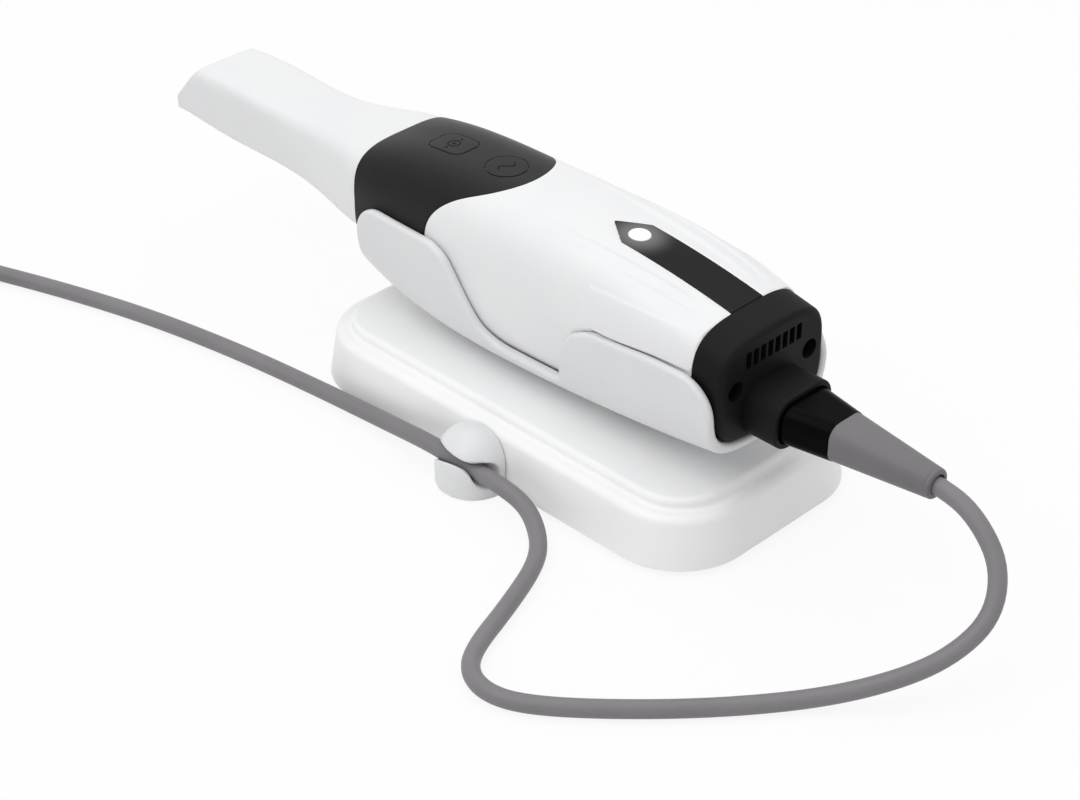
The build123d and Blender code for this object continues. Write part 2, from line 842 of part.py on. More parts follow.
def nose_section(plane, grow, corner):
    """Rounded section of the nose, grown by a distance."""
    with BuildSketch(plane) as section:
        with Locations((0, nose_axis_z)):
            RectangleRounded(nose_width + 2 * grow, nose_height + 2 * grow, corner)
    return section.sketch


# Nose: a flange that fills the root of the tip, and a barrel that reaches into it
with BuildPart() as nose:
    add(tip_form(-tip_wall - tip_gap))
    with BuildPart(mode=Mode.PRIVATE) as seat_zone:
        with BuildSketch(Plane.YZ.offset(nose_seat_x)):
            Rectangle(4 * overshoot, 4 * overshoot)
        extrude(amount=tip_rear_x - nose_seat_x)
    add(seat_zone.part, mode=Mode.INTERSECT)
    extrude(
        nose_section(Plane.YZ.offset(collar_front_x), nose_flange, nose_corner),
        amount=2 * (tip_rear_x - collar_front_x),
    )
    nose_rear_x = collar_front_x + front_wall
    extrude(nose_section(Plane.YZ.offset(nose_rear_x), 0, nose_corner), amount=nose_end_x - nose_rear_x)
    extrude(
        nose_section(Plane.YZ.offset(nose_rear_x), -nose_wall - nose_glass_ledge, nose_corner / 4),
        amount=2 * (nose_end_x - nose_rear_x),
        mode=Mode.SUBTRACT,
    )
    extrude(
        nose_section(Plane.YZ.offset(nose_end_x), -nose_wall, nose_corner / 2),
        amount=nose_glass_thickness + seam,
        mode=Mode.SUBTRACT,
    )
nose.part.label = "nose"
export_step(nose.part, "parts/nose.step")

with BuildPart() as nose_glass:
    extrude(
        nose_section(Plane.YZ.offset(nose_end_x + seam), -nose_wall - seam, nose_corner / 2 - seam),
        amount=nose_glass_thickness,
    )
nose_glass.part.label = "nose_glass"
export_step(nose_glass.part, "parts/nose_glass.step")


def tip_plan(inset):
    """Plan of the tip with rounded corners at its end, as a tall block."""
    length = tip_rear_x - tip_end_x + overshoot
    with BuildPart() as block:
        with BuildSketch():
            with Locations((tip_end_x + inset + length / 2, 0)):
                RectangleRounded(length, 2 * (tip_end_half_width - inset), tip_plan_radius - inset)
            with Locations((tip_end_top_x + 2 * overshoot, 0)):
                Rectangle(4 * overshoot - tip_plan_radius, 2 * overshoot)
        extrude(amount=4 * overshoot)
    return block.part


# Tip: thin white sleeve with a slanted closed end and a window in its underside
tip_core = tip_form(-tip_wall)
with BuildPart() as tip_sleeve:
    add(tip_form(0))
    add(tip_side(0), mode=Mode.INTERSECT)
    add(tip_plan(0), mode=Mode.INTERSECT)
    with BuildPart(mode=Mode.PRIVATE) as chamber:
        add(tip_core)
        add(tip_side(tip_wall), mode=Mode.INTERSECT)
        add(tip_plan(tip_wall), mode=Mode.INTERSECT)
    add(chamber.part, mode=Mode.SUBTRACT)
    with BuildSketch():
        with Locations(((window_front_x + window_rear_x) / 2, 0)):
            RectangleRounded(window_rear_x - window_front_x, 2 * window_half_width, tip_nose_radius)
    extrude(amount=tip_end_low + 2 * tip_wall, mode=Mode.SUBTRACT)
tip_sleeve.part.label = "tip_sleeve"
export_step(tip_sleeve.part, "parts/tip_sleeve.step")

with BuildPart() as tip_mirror:
    add(tip_form(-tip_wall - tip_gap))
    add(tip_side(tip_wall), mode=Mode.INTERSECT)
    add(tip_side(tip_wall + mirror_thickness), mode=Mode.SUBTRACT)
    with BuildSketch(Plane.XY.offset(tip_slant_low_z + tip_wall)):
        with Locations((tip_end_top_x, 0)):
            Rectangle(overshoot, 2 * (tip_end_half_width - tip_plan_radius))
    extrude(amount=tip_end_top - tip_slant_low_z - 3 * tip_wall, mode=Mode.INTERSECT)
tip_mirror.part.label = "tip_mirror"
export_step(tip_mirror.part, "parts/tip_mirror.step")

# Cable plug: parallel where it enters the socket, then tapering to its boot
plug_width = socket_width - 2 * socket_wall - 2 * plug_gap
plug_height = socket_height - 2 * socket_wall - 2 * plug_gap
plug_corner = socket_corner - socket_wall - plug_gap


def plug_section(x, width, height, corner):
    """Rounded section across the plug's axis."""
    with BuildSketch(Plane.YZ.offset(x)) as section:
        with Locations((0, plug_axis_z)):
            RectangleRounded(width, height, corner)
    return section.sketch


with BuildPart() as cable_plug:
    extrude(
        plug_section(plug_front_x, plug_width, plug_height, plug_corner),
        amount=plug_taper_x - plug_front_x,
    )
    loft(
        sections=[
            plug_section(plug_taper_x, plug_width, plug_height, plug_corner),
            plug_section(plug_rear_x, plug_rear_width, plug_rear_height, plug_rear_corner),
        ]
    )
cable_plug.part.label = "cable_plug"
export_step(cable_plug.part, "parts/cable_plug.step")

boot_radius = boot_end_diameter / 2
boot_width = plug_rear_width - boot_step
boot_height = plug_rear_height - boot_step
boot_lip_x = boot_end_x - boot_lip
cable_start_x = boot_end_x - boot_bore_depth
with BuildPart() as cable_boot:
    loft(
        sections=[
            plug_section(plug_rear_x, boot_width, boot_height, plug_rear_corner),
            plug_section(boot_lip_x, boot_end_diameter, boot_end_diameter, boot_radius - boot_step),
        ]
    )
    with BuildSketch(Plane.YZ.offset(boot_lip_x)):
        with Locations((0, plug_axis_z)):
            Circle(boot_radius)
    extrude(amount=boot_lip)
    fillet(cable_boot.faces().sort_by(Axis.X)[-1].edges(), boot_lip / 2)
    with BuildSketch(Plane.YZ.offset(boot_end_x)):
        with Locations((0, plug_axis_z)):
            Circle(cable_diameter / 2 + boot_bore_gap)
    extrude(amount=-boot_bore_depth, mode=Mode.SUBTRACT)
cable_boot.part.label = "cable_boot"
export_step(cable_boot.part, "parts/cable_boot.step")

# Lead: straight runs and tangent arcs, from the boot over the table and through the clip to the coil
floor_z = cable_diameter / 2 + seam
coil_inner_radius = coil_middle_radius - coil_columns * coil_pitch / 2
coil_outer_radius = coil_middle_radius + coil_columns * coil_pitch / 2
coil_low_z = tie_thickness + tie_gap
coil_top_z = coil_low_z + coil_layers * coil_pitch
coil_first_z = coil_low_z + coil_pitch / 2
coil_last_z = coil_top_z - coil_pitch / 2
outer_column = coil_outer_radius - coil_pitch / 2
arrival_angle = 110.0
arrival = (
    coil_x + outer_column * cos(radians(arrival_angle)),
    coil_y + outer_column * sin(radians(arrival_angle)),
    coil_first_z,
)
cable_route = [
    (cable_start_x, 0, plug_axis_z),
    (124.0, 0, plug_axis_z),
    (133.6, -0.5, 36.6),
    (143.4, -3.5, 29.4),
    (147.2, -10.0, 19.6),
    (144.2, -20.5, 12.3),
    (137.9, -33.0, 8.4),
    (124.7, -46.2, floor_z),
    (108.3, -67.6, floor_z),
    (90.1, -86.1, floor_z),
    (76.6, -97.2, floor_z),
    (67.4, -100.6, floor_z),
    (59.0, -98.6, floor_z),
    (53.2, -91.6, floor_z),
    (47.2, -74.0, floor_z),
    (40.0, -56.6, floor_z),
    (33.0, -48.5, 3.2),
    (23.5, -43.7, 6.0),
    (12.0, clip_channel_y, clip_channel_z),
    (-14.0, clip_channel_y, clip_channel_z),
    (-32.4, -42.0, 4.2),
    (-60.4, -42.8, floor_z),
    (-91.9, -46.7, floor_z),
    (-125.3, -53.2, floor_z),
    (-157.9, -63.0, floor_z),
    (-190.0, -75.0, floor_z),
    arrival,
]


def bend_radii(points):
    """Radius at each inner point, so that neighbouring arcs never meet."""
    radii = []
    for before, here, after in zip(points, points[1:], points[2:]):
        run_in = Vector(*here) - Vector(*before)
        run_out = Vector(*after) - Vector(*here)
        half_turn = radians(run_in.get_angle(run_out)) / 2
        radii.append(0.45 * min(run_in.length, run_out.length) / tan(half_turn))
    return radii


def cord_solid(points, diameter):
    """A round cord along straight runs and tangent arcs."""
    start = Vector(*points[0])
    heading = Vector(*points[1]) - start
    with BuildPart() as cord:
        with BuildLine() as route:
            FilletPolyline(*points, radius=bend_radii(points))
        with BuildSketch(Plane(origin=start, z_dir=heading)):
            Circle(diameter / 2)
        sweep(path=route.wire())
    return cord.part


with BuildPart() as cable:
    add(cord_solid(cable_route, cable_diameter))
cable.part.label = "cable"
export_step(cable.part, "parts/cable.step")

with BuildPart() as cable_coil:
    with BuildSketch(Plane.XY.offset(coil_low_z)):
        with Locations((coil_x, coil_y)):
            Circle(coil_outer_radius)
            Circle(coil_inner_radius, mode=Mode.SUBTRACT)
    extrude(amount=coil_top_z - coil_low_z)
    fillet(cable_coil.edges().filter_by(GeomType.CIRCLE), coil_pitch / 2)
cable_coil.part.label = "cable_coil"
export_step(cable_coil.part, "parts/cable_coil.step")

# End of the lead: it leaves the top of the coil, and its plug lies across the coil
plug_radial = Vector(cos(radians(end_plug_angle)), sin(radians(end_plug_angle)), 0)
plug_along = Vector(-sin(radians(end_plug_angle)), cos(radians(end_plug_angle)), 0)
coil_centre = Vector(coil_x, coil_y, 0)
end_axis_offset = 29.6
end_axis_z = coil_top_z + end_plug_height / 2
end_relief_start = -12.0


def beside_coil(along, out, height):
    """A point given along the end plug, outwards from the coil's middle and upwards."""
    return coil_centre + plug_along * along + plug_radial * out + Vector(0, 0, height)


tail_start = -30.0
tail_out = sqrt(outer_column**2 - tail_start**2)
tail_points = [
    beside_coil(tail_start, tail_out, coil_last_z),
    beside_coil(-26.5, 23.2, coil_last_z + 1.1),
    beside_coil(-20.6, 28.0, coil_last_z + 3.6),
    beside_coil(-12.9, end_axis_offset, end_axis_z - 0.2),
    beside_coil(end_relief_start + end_relief_length / 2, end_axis_offset, end_axis_z),
]
tail_route = [(point.X, point.Y, point.Z) for point in tail_points]
with BuildPart() as cable_tail:
    add(cord_solid(tail_route, cable_diameter))
cable_tail.part.label = "cable_tail"
export_step(cable_tail.part, "parts/cable_tail.step")


def end_plane(along):
    """Plane across the end plug's axis."""
    return Plane(
        origin=beside_coil(along, end_axis_offset, end_axis_z),
        x_dir=plug_radial,
        z_dir=plug_along,
    )


end_body_start = end_relief_start + end_relief_length
end_body_stop = end_body_start + end_plug_length
with BuildPart() as end_plug:
    with BuildSketch(end_plane(end_body_start)):
        RectangleRounded(end_plug_width, end_plug_height, end_plug_corner)
    extrude(amount=end_plug_length)
    with BuildSketch(end_plane(end_relief_start)):
        Circle(end_relief_diameter / 2 + seam)
    extrude(amount=end_relief_length)
    with BuildSketch(end_plane(end_relief_start)):
        Circle(cable_diameter / 2 + boot_bore_gap)
    extrude(amount=end_relief_length / 2 + seam, mode=Mode.SUBTRACT)
    with BuildSketch(end_plane(end_body_stop)):
        with Locations((0, (end_shell_height - end_tongue_height) / 2 - end_shell_wall - seam)):
            Rectangle(end_shell_width - 4 * end_shell_wall, end_tongue_height)
    extrude(amount=end_shell_length - end_shell_wall)
end_plug.part.label = "end_plug"
export_step(end_plug.part, "parts/end_plug.step")

with BuildPart() as end_shell:
    with BuildSketch(end_plane(end_body_stop)):
        Rectangle(end_shell_width, end_shell_height)
        Rectangle(
            end_shell_width - 2 * end_shell_wall,
            end_shell_height - 2 * end_shell_wall,
            mode=Mode.SUBTRACT,
        )
    extrude(amount=end_shell_length)
end_shell.part.label = "end_shell"
export_step(end_shell.part, "parts/end_shell.step")

# Hook-and-loop tie round the coil
tie_radial = Vector(cos(radians(tie_angle)), sin(radians(tie_angle)), 0)
tie_along = Vector(-sin(radians(tie_angle)), cos(radians(tie_angle)), 0)
tie_inner = sqrt(coil_inner_radius**2 - (tie_width / 2) ** 2) - tie_gap
tie_outer = coil_outer_radius + tie_gap
tie_low = coil_low_z - tie_gap
tie_high = coil_top_z + tie_gap
tie_middle = coil_centre + tie_radial * ((tie_inner + tie_outer) / 2) + Vector(0, 0, (tie_low + tie_high) / 2)
with BuildPart() as cable_tie:
    with BuildSketch(Plane(origin=tie_middle, x_dir=tie_radial, z_dir=tie_along)):
        RectangleRounded(
            tie_outer - tie_inner + 2 * tie_thickness,
            tie_high - tie_low + 2 * tie_thickness,
            2 * tie_thickness,
        )
        RectangleRounded(tie_outer - tie_inner, tie_high - tie_low, tie_thickness, mode=Mode.SUBTRACT)
    extrude(amount=tie_width / 2, both=True)
cable_tie.part.label = "cable_tie"
export_step(cable_tie.part, "parts/cable_tie.step")


def base_outline(z, inset):
    """Plan of the base at one height, shrunk by a distance."""
    with BuildSketch(Plane.XY.offset(z)) as outline:
        RectangleRounded(base_length - 2 * inset, base_width - 2 * inset, base_corner - inset)
    return outline.sketch


# Cradle base: a moulded shell with a raised plateau, closed from below
boss_x = base_length / 2 - boss_inset_x
boss_y = base_width / 2 - boss_inset_y
plate_low_z = foot_thickness
plate_top_z = plate_low_z + plate_thickness
plateau_under_z = plateau_z - base_wall
wall_slope = base_flare / (shoulder_z - floor_gap)
plate_inset = base_wall + plate_gap - base_flare + (plate_top_z - floor_gap) * wall_slope
with BuildPart() as base_shell:
    loft(sections=[base_outline(floor_gap, -base_flare), base_outline(shoulder_z, 0)])
    fillet(base_shell.faces().sort_by(Axis.Z)[-1].edges(), shoulder_fillet)
    extrude(base_outline(shoulder_z, plateau_inset), amount=plateau_z - shoulder_z)
    root_edges = [edge for edge in base_shell.edges(Select.LAST) if abs(edge.center().Z - shoulder_z) < seam]
    fillet(root_edges, plateau_root)
    fillet(base_shell.faces().sort_by(Axis.Z)[-1].edges(), plateau_fillet)
    loft(
        sections=[
            base_outline(floor_gap, base_wall - base_flare),
            base_outline(shoulder_z - base_wall, base_wall),
        ],
        mode=Mode.SUBTRACT,
    )
    extrude(
        base_outline(floor_gap, plateau_inset + base_wall),
        amount=plateau_under_z - floor_gap,
        mode=Mode.SUBTRACT,
    )
    with BuildSketch(Plane.XY.offset(plate_top_z)):
        with GridLocations(2 * boss_x, 2 * boss_y, 2, 2):
            Circle(boss_radius)
    extrude(amount=plateau_under_z - plate_top_z)
    with BuildSketch(Plane.XY.offset(plate_top_z)):
        with GridLocations(2 * boss_x, 2 * boss_y, 2, 2):
            Circle(base_screw_radius + seam)
    extrude(amount=base_screw_length, mode=Mode.SUBTRACT)
    with BuildSketch(Plane.XY.offset(plateau_under_z)):
        with Locations((pedestal_x, 0)):
            with GridLocations(saddle_screw_spacing, 0, 2, 1):
                Circle(saddle_screw_radius + seam)
    extrude(amount=overshoot, mode=Mode.SUBTRACT)
base_shell.part.label = "base_shell"
export_step(base_shell.part, "parts/base_shell.step")

head_low_z = plate_low_z
with BuildPart() as base_plate:
    extrude(base_outline(plate_low_z, plate_inset), amount=plate_thickness)
    with BuildSketch(Plane.XY.offset(plate_low_z)):
        with GridLocations(2 * boss_x, 2 * boss_y, 2, 2):
            Circle(base_screw_head_radius + seam)
    extrude(amount=base_screw_head, mode=Mode.SUBTRACT)
    with BuildSketch(Plane.XY.offset(plate_low_z)):
        with GridLocations(2 * boss_x, 2 * boss_y, 2, 2):
            Circle(base_screw_radius + seam)
    extrude(amount=plate_thickness, mode=Mode.SUBTRACT)
base_plate.part.label = "base_plate"
export_step(base_plate.part, "parts/base_plate.step")

with BuildPart() as base_screws:
    with BuildSketch(Plane.XY.offset(head_low_z)):
        with GridLocations(2 * boss_x, 2 * boss_y, 2, 2):
            Circle(base_screw_head_radius)
    extrude(amount=base_screw_head)
    with BuildSketch(Plane.XY.offset(head_low_z)):
        with GridLocations(2 * boss_x, 2 * boss_y, 2, 2):
            Circle(base_screw_radius)
    extrude(amount=base_screw_length)
base_screws.part.label = "base_screws"
export_step(base_screws.part, "parts/base_screws.step")

with BuildPart() as anti_slip_pad:
    extrude(base_outline(0, plate_inset + foot_inset), amount=foot_thickness)
anti_slip_pad.part.label = "anti_slip_pad"
export_step(anti_slip_pad.part, "parts/anti_slip_pad.step")

with BuildPart() as ballast:
    with BuildSketch(Plane.XY.offset(plate_top_z)):
        RectangleRounded(ballast_length, ballast_width, ballast_corner)
    extrude(amount=ballast_thickness)
ballast.part.label = "ballast"
export_step(ballast.part, "parts/ballast.step")

# Saddle: a shell that follows the handset, cut away at the sides for the fingers
with BuildPart() as saddle:
    add(handset_form(saddle_gap + saddle_wall))
    with BuildSketch(Plane.XZ):
        with BuildLine():
            FilletPolyline(
                (saddle_front_x, 0),
                (saddle_front_x, flap_front_top),
                (flap_front_rear_x, flap_front_top),
                (valley_front_x, valley_z),
                (valley_rear_x, valley_z),
                (flap_rear_front_x, flap_rear_top),
                (saddle_rear_x, flap_rear_top),
                (saddle_rear_x, 0),
                radius=[
                    flap_front_radius,
                    flap_shoulder_radius,
                    valley_radius,
                    valley_rear_radius,
                    flap_rear_radius,
                    flap_end_radius,
                ],
            )
            Line((saddle_front_x, 0), (saddle_rear_x, 0))
        make_face()
    extrude(amount=overshoot, both=True, mode=Mode.INTERSECT)
    with BuildSketch(Plane.XY.offset(plateau_z)):
        with Locations((pedestal_x, 0)):
            RectangleRounded(pedestal_length, pedestal_width, pedestal_corner)
    extrude(amount=belly_low - plateau_z)
    add(handset_form(saddle_gap), mode=Mode.SUBTRACT)
    with BuildSketch(Plane.XY.offset(plateau_z)):
        with Locations((pedestal_x, 0)):
            with GridLocations(saddle_screw_spacing, 0, 2, 1):
                Circle(saddle_screw_radius + seam)
    extrude(amount=saddle_screw_length - base_wall, mode=Mode.SUBTRACT)
    rim_edges = []
    for face in saddle.faces():
        if face.geom_type == GeomType.BSPLINE or face.center().Z < belly_low:
            continue
        rim_edges += [edge for edge in face.edges() if edge.geom_type != GeomType.LINE]
    fillet(rim_edges, rim_fillet)
saddle.part.label = "saddle"
export_step(saddle.part, "parts/saddle.step")

with BuildPart() as saddle_screws:
    with BuildSketch(Plane.XY.offset(plateau_under_z)):
        with Locations((pedestal_x, 0)):
            with GridLocations(saddle_screw_spacing, 0, 2, 1):
                Circle(saddle_screw_head_radius)
    extrude(amount=-saddle_screw_head)
    with BuildSketch(Plane.XY.offset(plateau_under_z)):
        with Locations((pedestal_x, 0)):
            with GridLocations(saddle_screw_spacing, 0, 2, 1):
                Circle(saddle_screw_radius)
    extrude(amount=saddle_screw_length)
saddle_screws.part.label = "saddle_screws"
export_step(saddle_screws.part, "parts/saddle_screws.step")

# Cable clip: a rounded knob on the base wall with a channel along X and a slot to press the lead in
channel_radius = cable_diameter / 2 + clip_channel_gap
clip_half_length = sqrt(clip_radius**2 - (clip_axis_y - clip_channel_y) ** 2)
with BuildPart() as cable_clip:
    with BuildSketch(Plane.XY.offset(clip_foot_z)):
        with Locations((clip_x, clip_axis_y)):
            Circle(clip_radius)
    extrude(amount=clip_wall_height - clip_foot_z)
    with Locations((clip_x, clip_axis_y, clip_wall_height)):
        Sphere(clip_radius)
    with BuildSketch(Plane.XY.offset(clip_foot_z)):
        with Locations((clip_x, -base_width / 2 - overshoot / 2)):
            Rectangle(overshoot, overshoot)
    extrude(amount=overshoot, mode=Mode.INTERSECT)
    loft(
        sections=[base_outline(floor_gap, -base_flare), base_outline(shoulder_z, 0)],
        mode=Mode.SUBTRACT,
    )
    with BuildSketch(Plane.XY.offset(clip_foot_z)):
        with Locations((clip_x, 0)):
            Rectangle(overshoot, base_width + 2 * base_flare)
    extrude(amount=floor_gap - clip_foot_z, mode=Mode.SUBTRACT)
    with BuildSketch(Plane.YZ.offset(clip_x)):
        with Locations((clip_channel_y, clip_channel_z)):
            Circle(channel_radius)
        slot_turn = 180 - clip_slot_angle
        slot_y = clip_channel_y + overshoot / 2 * cos(radians(slot_turn))
        slot_z = clip_channel_z + overshoot / 2 * sin(radians(slot_turn))
        with Locations((slot_y, slot_z)):
            Rectangle(overshoot, clip_slot_width, rotation=slot_turn)
    extrude(amount=overshoot, both=True, mode=Mode.SUBTRACT)
    mouth_reach = clip_half_length - clip_mouth_depth / 2
    mouth_rear = Location((clip_x + mouth_reach, clip_channel_y, clip_channel_z), (0, 90, 0))
    mouth_front = Location((clip_x - mouth_reach, clip_channel_y, clip_channel_z), (0, -90, 0))
    with Locations(mouth_rear, mouth_front):
        Cone(channel_radius, clip_mouth_radius, clip_mouth_depth, mode=Mode.SUBTRACT)
cable_clip.part.label = "cable_clip"
export_step(cable_clip.part, "parts/cable_clip.step")
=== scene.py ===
# %% [markdown]
# A dental hand scanner lies in its desk cradle, and its lead runs through a clip on the cradle's side. An
# engineering model gives every place and size, as solids. The pieces could all be modelled again by eye,
# but then the two models would drift apart. So this lesson opens the solids as a fixed frame, adds the
# finer shapes that moulded parts have, and gives each piece its finish.

# %% Open the frame
import json
from math import atan2, cos, pi, radians, sin

import bmesh
import bpy
import numpy as np
from mathutils import Matrix, Vector
from mathutils.bvhtree import BVHTree


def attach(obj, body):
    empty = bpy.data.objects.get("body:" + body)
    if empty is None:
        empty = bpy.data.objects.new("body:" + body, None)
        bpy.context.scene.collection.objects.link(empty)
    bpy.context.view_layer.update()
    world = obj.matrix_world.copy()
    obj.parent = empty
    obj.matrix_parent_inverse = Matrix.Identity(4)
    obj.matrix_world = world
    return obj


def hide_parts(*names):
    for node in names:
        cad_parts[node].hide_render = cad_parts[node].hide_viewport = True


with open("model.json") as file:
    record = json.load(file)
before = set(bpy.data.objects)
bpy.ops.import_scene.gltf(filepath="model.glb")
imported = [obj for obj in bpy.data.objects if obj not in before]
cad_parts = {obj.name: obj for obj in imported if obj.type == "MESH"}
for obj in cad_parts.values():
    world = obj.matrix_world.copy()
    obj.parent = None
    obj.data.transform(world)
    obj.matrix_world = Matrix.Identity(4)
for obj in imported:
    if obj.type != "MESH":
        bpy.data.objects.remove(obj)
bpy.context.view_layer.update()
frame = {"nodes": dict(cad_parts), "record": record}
nodes = frame["nodes"]
scene = bpy.context.scene
MM = 0.001

# %% [markdown]
# The camera comes first, because everything is judged through it. A product picture like this is taken
# with a long lens from some distance, which keeps parallel edges nearly parallel. A camera can be aimed
# at an empty object with a constraint, but two vectors say the same and are easier to check: where the
# eye is, and which way it looks, about 34 degrees down and 45 degrees round from the side.

# %% Camera
EYE = Vector((406.3, -421.6, 402.0)) * MM
LOOK = Vector((-0.5862, 0.5862, -0.5592))
camera_data = bpy.data.cameras.new("studio_camera")
camera_data.lens = 85.0
camera_data.sensor_width = 36.0
camera_data.clip_start = 0.05
camera_data.clip_end = 20.0
camera = bpy.data.objects.new("studio_camera", camera_data)
camera.location = EYE
camera.rotation_mode = "QUATERNION"
camera.rotation_quaternion = LOOK.to_track_quat("-Z", "Y")
scene.collection.objects.link(camera)
scene.camera = camera
print("camera at", [round(v, 3) for v in EYE])

# %% [markdown]
# The lead is a soft cable, a little under five millimetres thick. It leaves the boot, drops to the table,
# swings round and passes through the clip. A cable could be simulated, but this one lies still, so its
# route is a short list of points that one smooth curve will follow. They are the points of the solid
# lead.

# %% Lead route
LEAD_DIAMETER = 4.8
LEAD_CLEAR = 0.15
LEAD_FLOOR = LEAD_DIAMETER / 2 + LEAD_CLEAR
PLUG_AXIS_Z = 40.0
CLIP_Y = -44.2
CLIP_Z = 8.0
LEAD_START = (112.8, 0.0, PLUG_AXIS_Z)
lead_route = [
    LEAD_START,
    (124.0, 0.0, PLUG_AXIS_Z),
    (133.6, -0.5, 36.6),
    (143.4, -3.5, 29.4),
    (147.2, -10.0, 19.6),
    (144.2, -20.5, 12.3),
    (137.9, -33.0, 8.4),
    (124.7, -46.2, LEAD_FLOOR),
    (108.3, -67.6, LEAD_FLOOR),
    (90.1, -86.1, LEAD_FLOOR),
    (76.6, -97.2, LEAD_FLOOR),
    (67.4, -100.6, LEAD_FLOOR),
    (59.0, -98.6, LEAD_FLOOR),
    (53.2, -91.6, LEAD_FLOOR),
    (47.2, -74.0, LEAD_FLOOR),
    (40.0, -56.6, LEAD_FLOOR),
    (33.0, -48.5, 3.2),
    (23.5, -43.7, 6.0),
    (12.0, CLIP_Y, CLIP_Z),
    (-0.5, CLIP_Y, CLIP_Z),
    (-14.0, CLIP_Y, CLIP_Z),
    (-32.4, -42.0, 4.2),
    (-60.4, -42.8, LEAD_FLOOR),
    (-91.9, -46.7, LEAD_FLOOR),
    (-125.3, -53.2, LEAD_FLOOR),
    (-157.9, -63.0, LEAD_FLOOR),
    (-190.0, -75.0, LEAD_FLOOR),
]
print("route:", len(lead_route), "points")

# %% [markdown]
# The rest of the lead is wound into a neat flat coil, as people do with a lead that is too long for the
# desk. A ring would be quicker to make, but it has no ends. Here the winding is worked out turn by turn:
# it steps inwards one column a turn, climbs to the second layer and steps outwards again, so no two turns
# share a place.

# %% Coil
COIL_CENTRE = (-201.5, -113.0)
COIL_PITCH = 4.9
COIL_MIDDLE = 27.2
COIL_COLUMNS = 4
COIL_LOW = 1.2
COIL_START_ANGLE = 110.0
COIL_TURNS = 7
POINTS_PER_TURN = 16
OUTER_COLUMN = COIL_MIDDLE + (COIL_COLUMNS - 1) / 2 * COIL_PITCH
INWARD_TURNS = (1, 2, 3)
INWARD_SPAN = (-0.3, 0.0)
CLIMB_SPAN = (3.35, 3.65)
OUTWARD_TURNS = (4, 5, 6)
OUTWARD_SPAN = (0.05, 0.33)
POINT_WEIGHT = 0.75


def ease(value, start, stop):
    """0 before start, 1 after stop, and a smooth rise between them."""
    share = np.clip((value - start) / (stop - start), 0.0, 1.0)
    return share * share * (3 - 2 * share)


def coil_place(turn):
    """Column and layer of the winding after a number of turns."""
    column = sum(ease(turn, k + INWARD_SPAN[0], k + INWARD_SPAN[1]) for k in INWARD_TURNS)
    column -= sum(ease(turn, k + OUTWARD_SPAN[0], k + OUTWARD_SPAN[1]) for k in OUTWARD_TURNS)
    return column, ease(turn, *CLIMB_SPAN)


def coil_point(turn):
    """One control point of the winding, a little outside it, because the curve cuts inside its points."""
    column, layer = coil_place(turn)
    cut_inside = POINT_WEIGHT + (1 - POINT_WEIGHT) * cos(2 * pi / POINTS_PER_TURN)
    radius = (OUTER_COLUMN - column * COIL_PITCH) / cut_inside
    angle = radians(COIL_START_ANGLE + 360 * turn)
    return (
        COIL_CENTRE[0] + radius * cos(angle),
        COIL_CENTRE[1] + radius * sin(angle),
        COIL_LOW + COIL_PITCH * (0.5 + layer),
    )


coil_points = [coil_point(step / POINTS_PER_TURN) for step in range(COIL_TURNS * POINTS_PER_TURN + 1)]
print("coil:", COIL_TURNS, "turns with", len(coil_points), "points")

# %% [markdown]
# The lead's far end carries a plug that lies on the coil. The last stretch rises from the upper layer to
# the plug's axis. It could be drawn in the room's axes, but the plug lies askew, so these points are
# given along the plug, outwards from the coil and upwards: then a change of the plug's angle carries them
# along.

# %% Lead end
END_ANGLE = radians(170.0)
END_OUT = Vector((cos(END_ANGLE), sin(END_ANGLE), 0))
END_ALONG = Vector((-sin(END_ANGLE), cos(END_ANGLE), 0))
END_OFFSET = 29.6
COIL_TOP = COIL_LOW + 2 * COIL_PITCH
LAST_LAYER = COIL_LOW + 1.5 * COIL_PITCH
END_RISE = 4.0
END_AXIS_Z = COIL_TOP + END_RISE


def beside_coil(along, out, height):
    """A point given along the end plug, outwards from the coil's middle and upwards."""
    middle = Vector((COIL_CENTRE[0], COIL_CENTRE[1], 0))
    return middle + END_ALONG * along + END_OUT * out + Vector((0, 0, height))


tail_points = [
    beside_coil(-26.5, 23.2, LAST_LAYER + 1.1),
    beside_coil(-20.6, 28.0, LAST_LAYER + 3.6),
    beside_coil(-12.9, END_OFFSET, END_AXIS_Z - 0.2),
    beside_coil(-7.5, END_OFFSET, END_AXIS_Z),
]
print("end plug", round(END_AXIS_Z, 2), "mm above the table")

# %% [markdown]
# A cable is a circle drawn along a line. A mesh tube would do, but a curve object with a round bevel
# keeps the line editable and gives an even jacket for any route. A spline of order three stays close to
# its points and never swings out past them. Each point's radius is the jacket's radius in metres, so the
# bevel itself is one.

# %% Lead curve
def smooth_curve(name, points, diameter, closed=False):
    """A round cord whose line is a NURBS spline with these control points, in millimetres."""
    data = bpy.data.curves.new(name, "CURVE")
    data.dimensions = "3D"
    spline = data.splines.new("NURBS")
    spline.points.add(len(points) - 1)
    for target, point in zip(spline.points, points):
        target.co = (point[0] * MM, point[1] * MM, point[2] * MM, 1.0)
        target.radius = diameter / 2 * MM
    spline.order_u = 3
    spline.use_cyclic_u = closed
    spline.use_endpoint_u = not closed
    spline.resolution_u = 6
    data.bevel_depth = 1.0
    data.bevel_resolution = 6
    data.use_fill_caps = True
    piece = bpy.data.objects.new(name, data)
    scene.collection.objects.link(piece)
    return piece


lead = smooth_curve("lead", lead_route + coil_points + tail_points, LEAD_DIAMETER)
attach(lead, "scanner")
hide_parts("cable", "cable_coil", "cable_tail")
print("lead:", len(lead.data.splines[0].points), "control points")

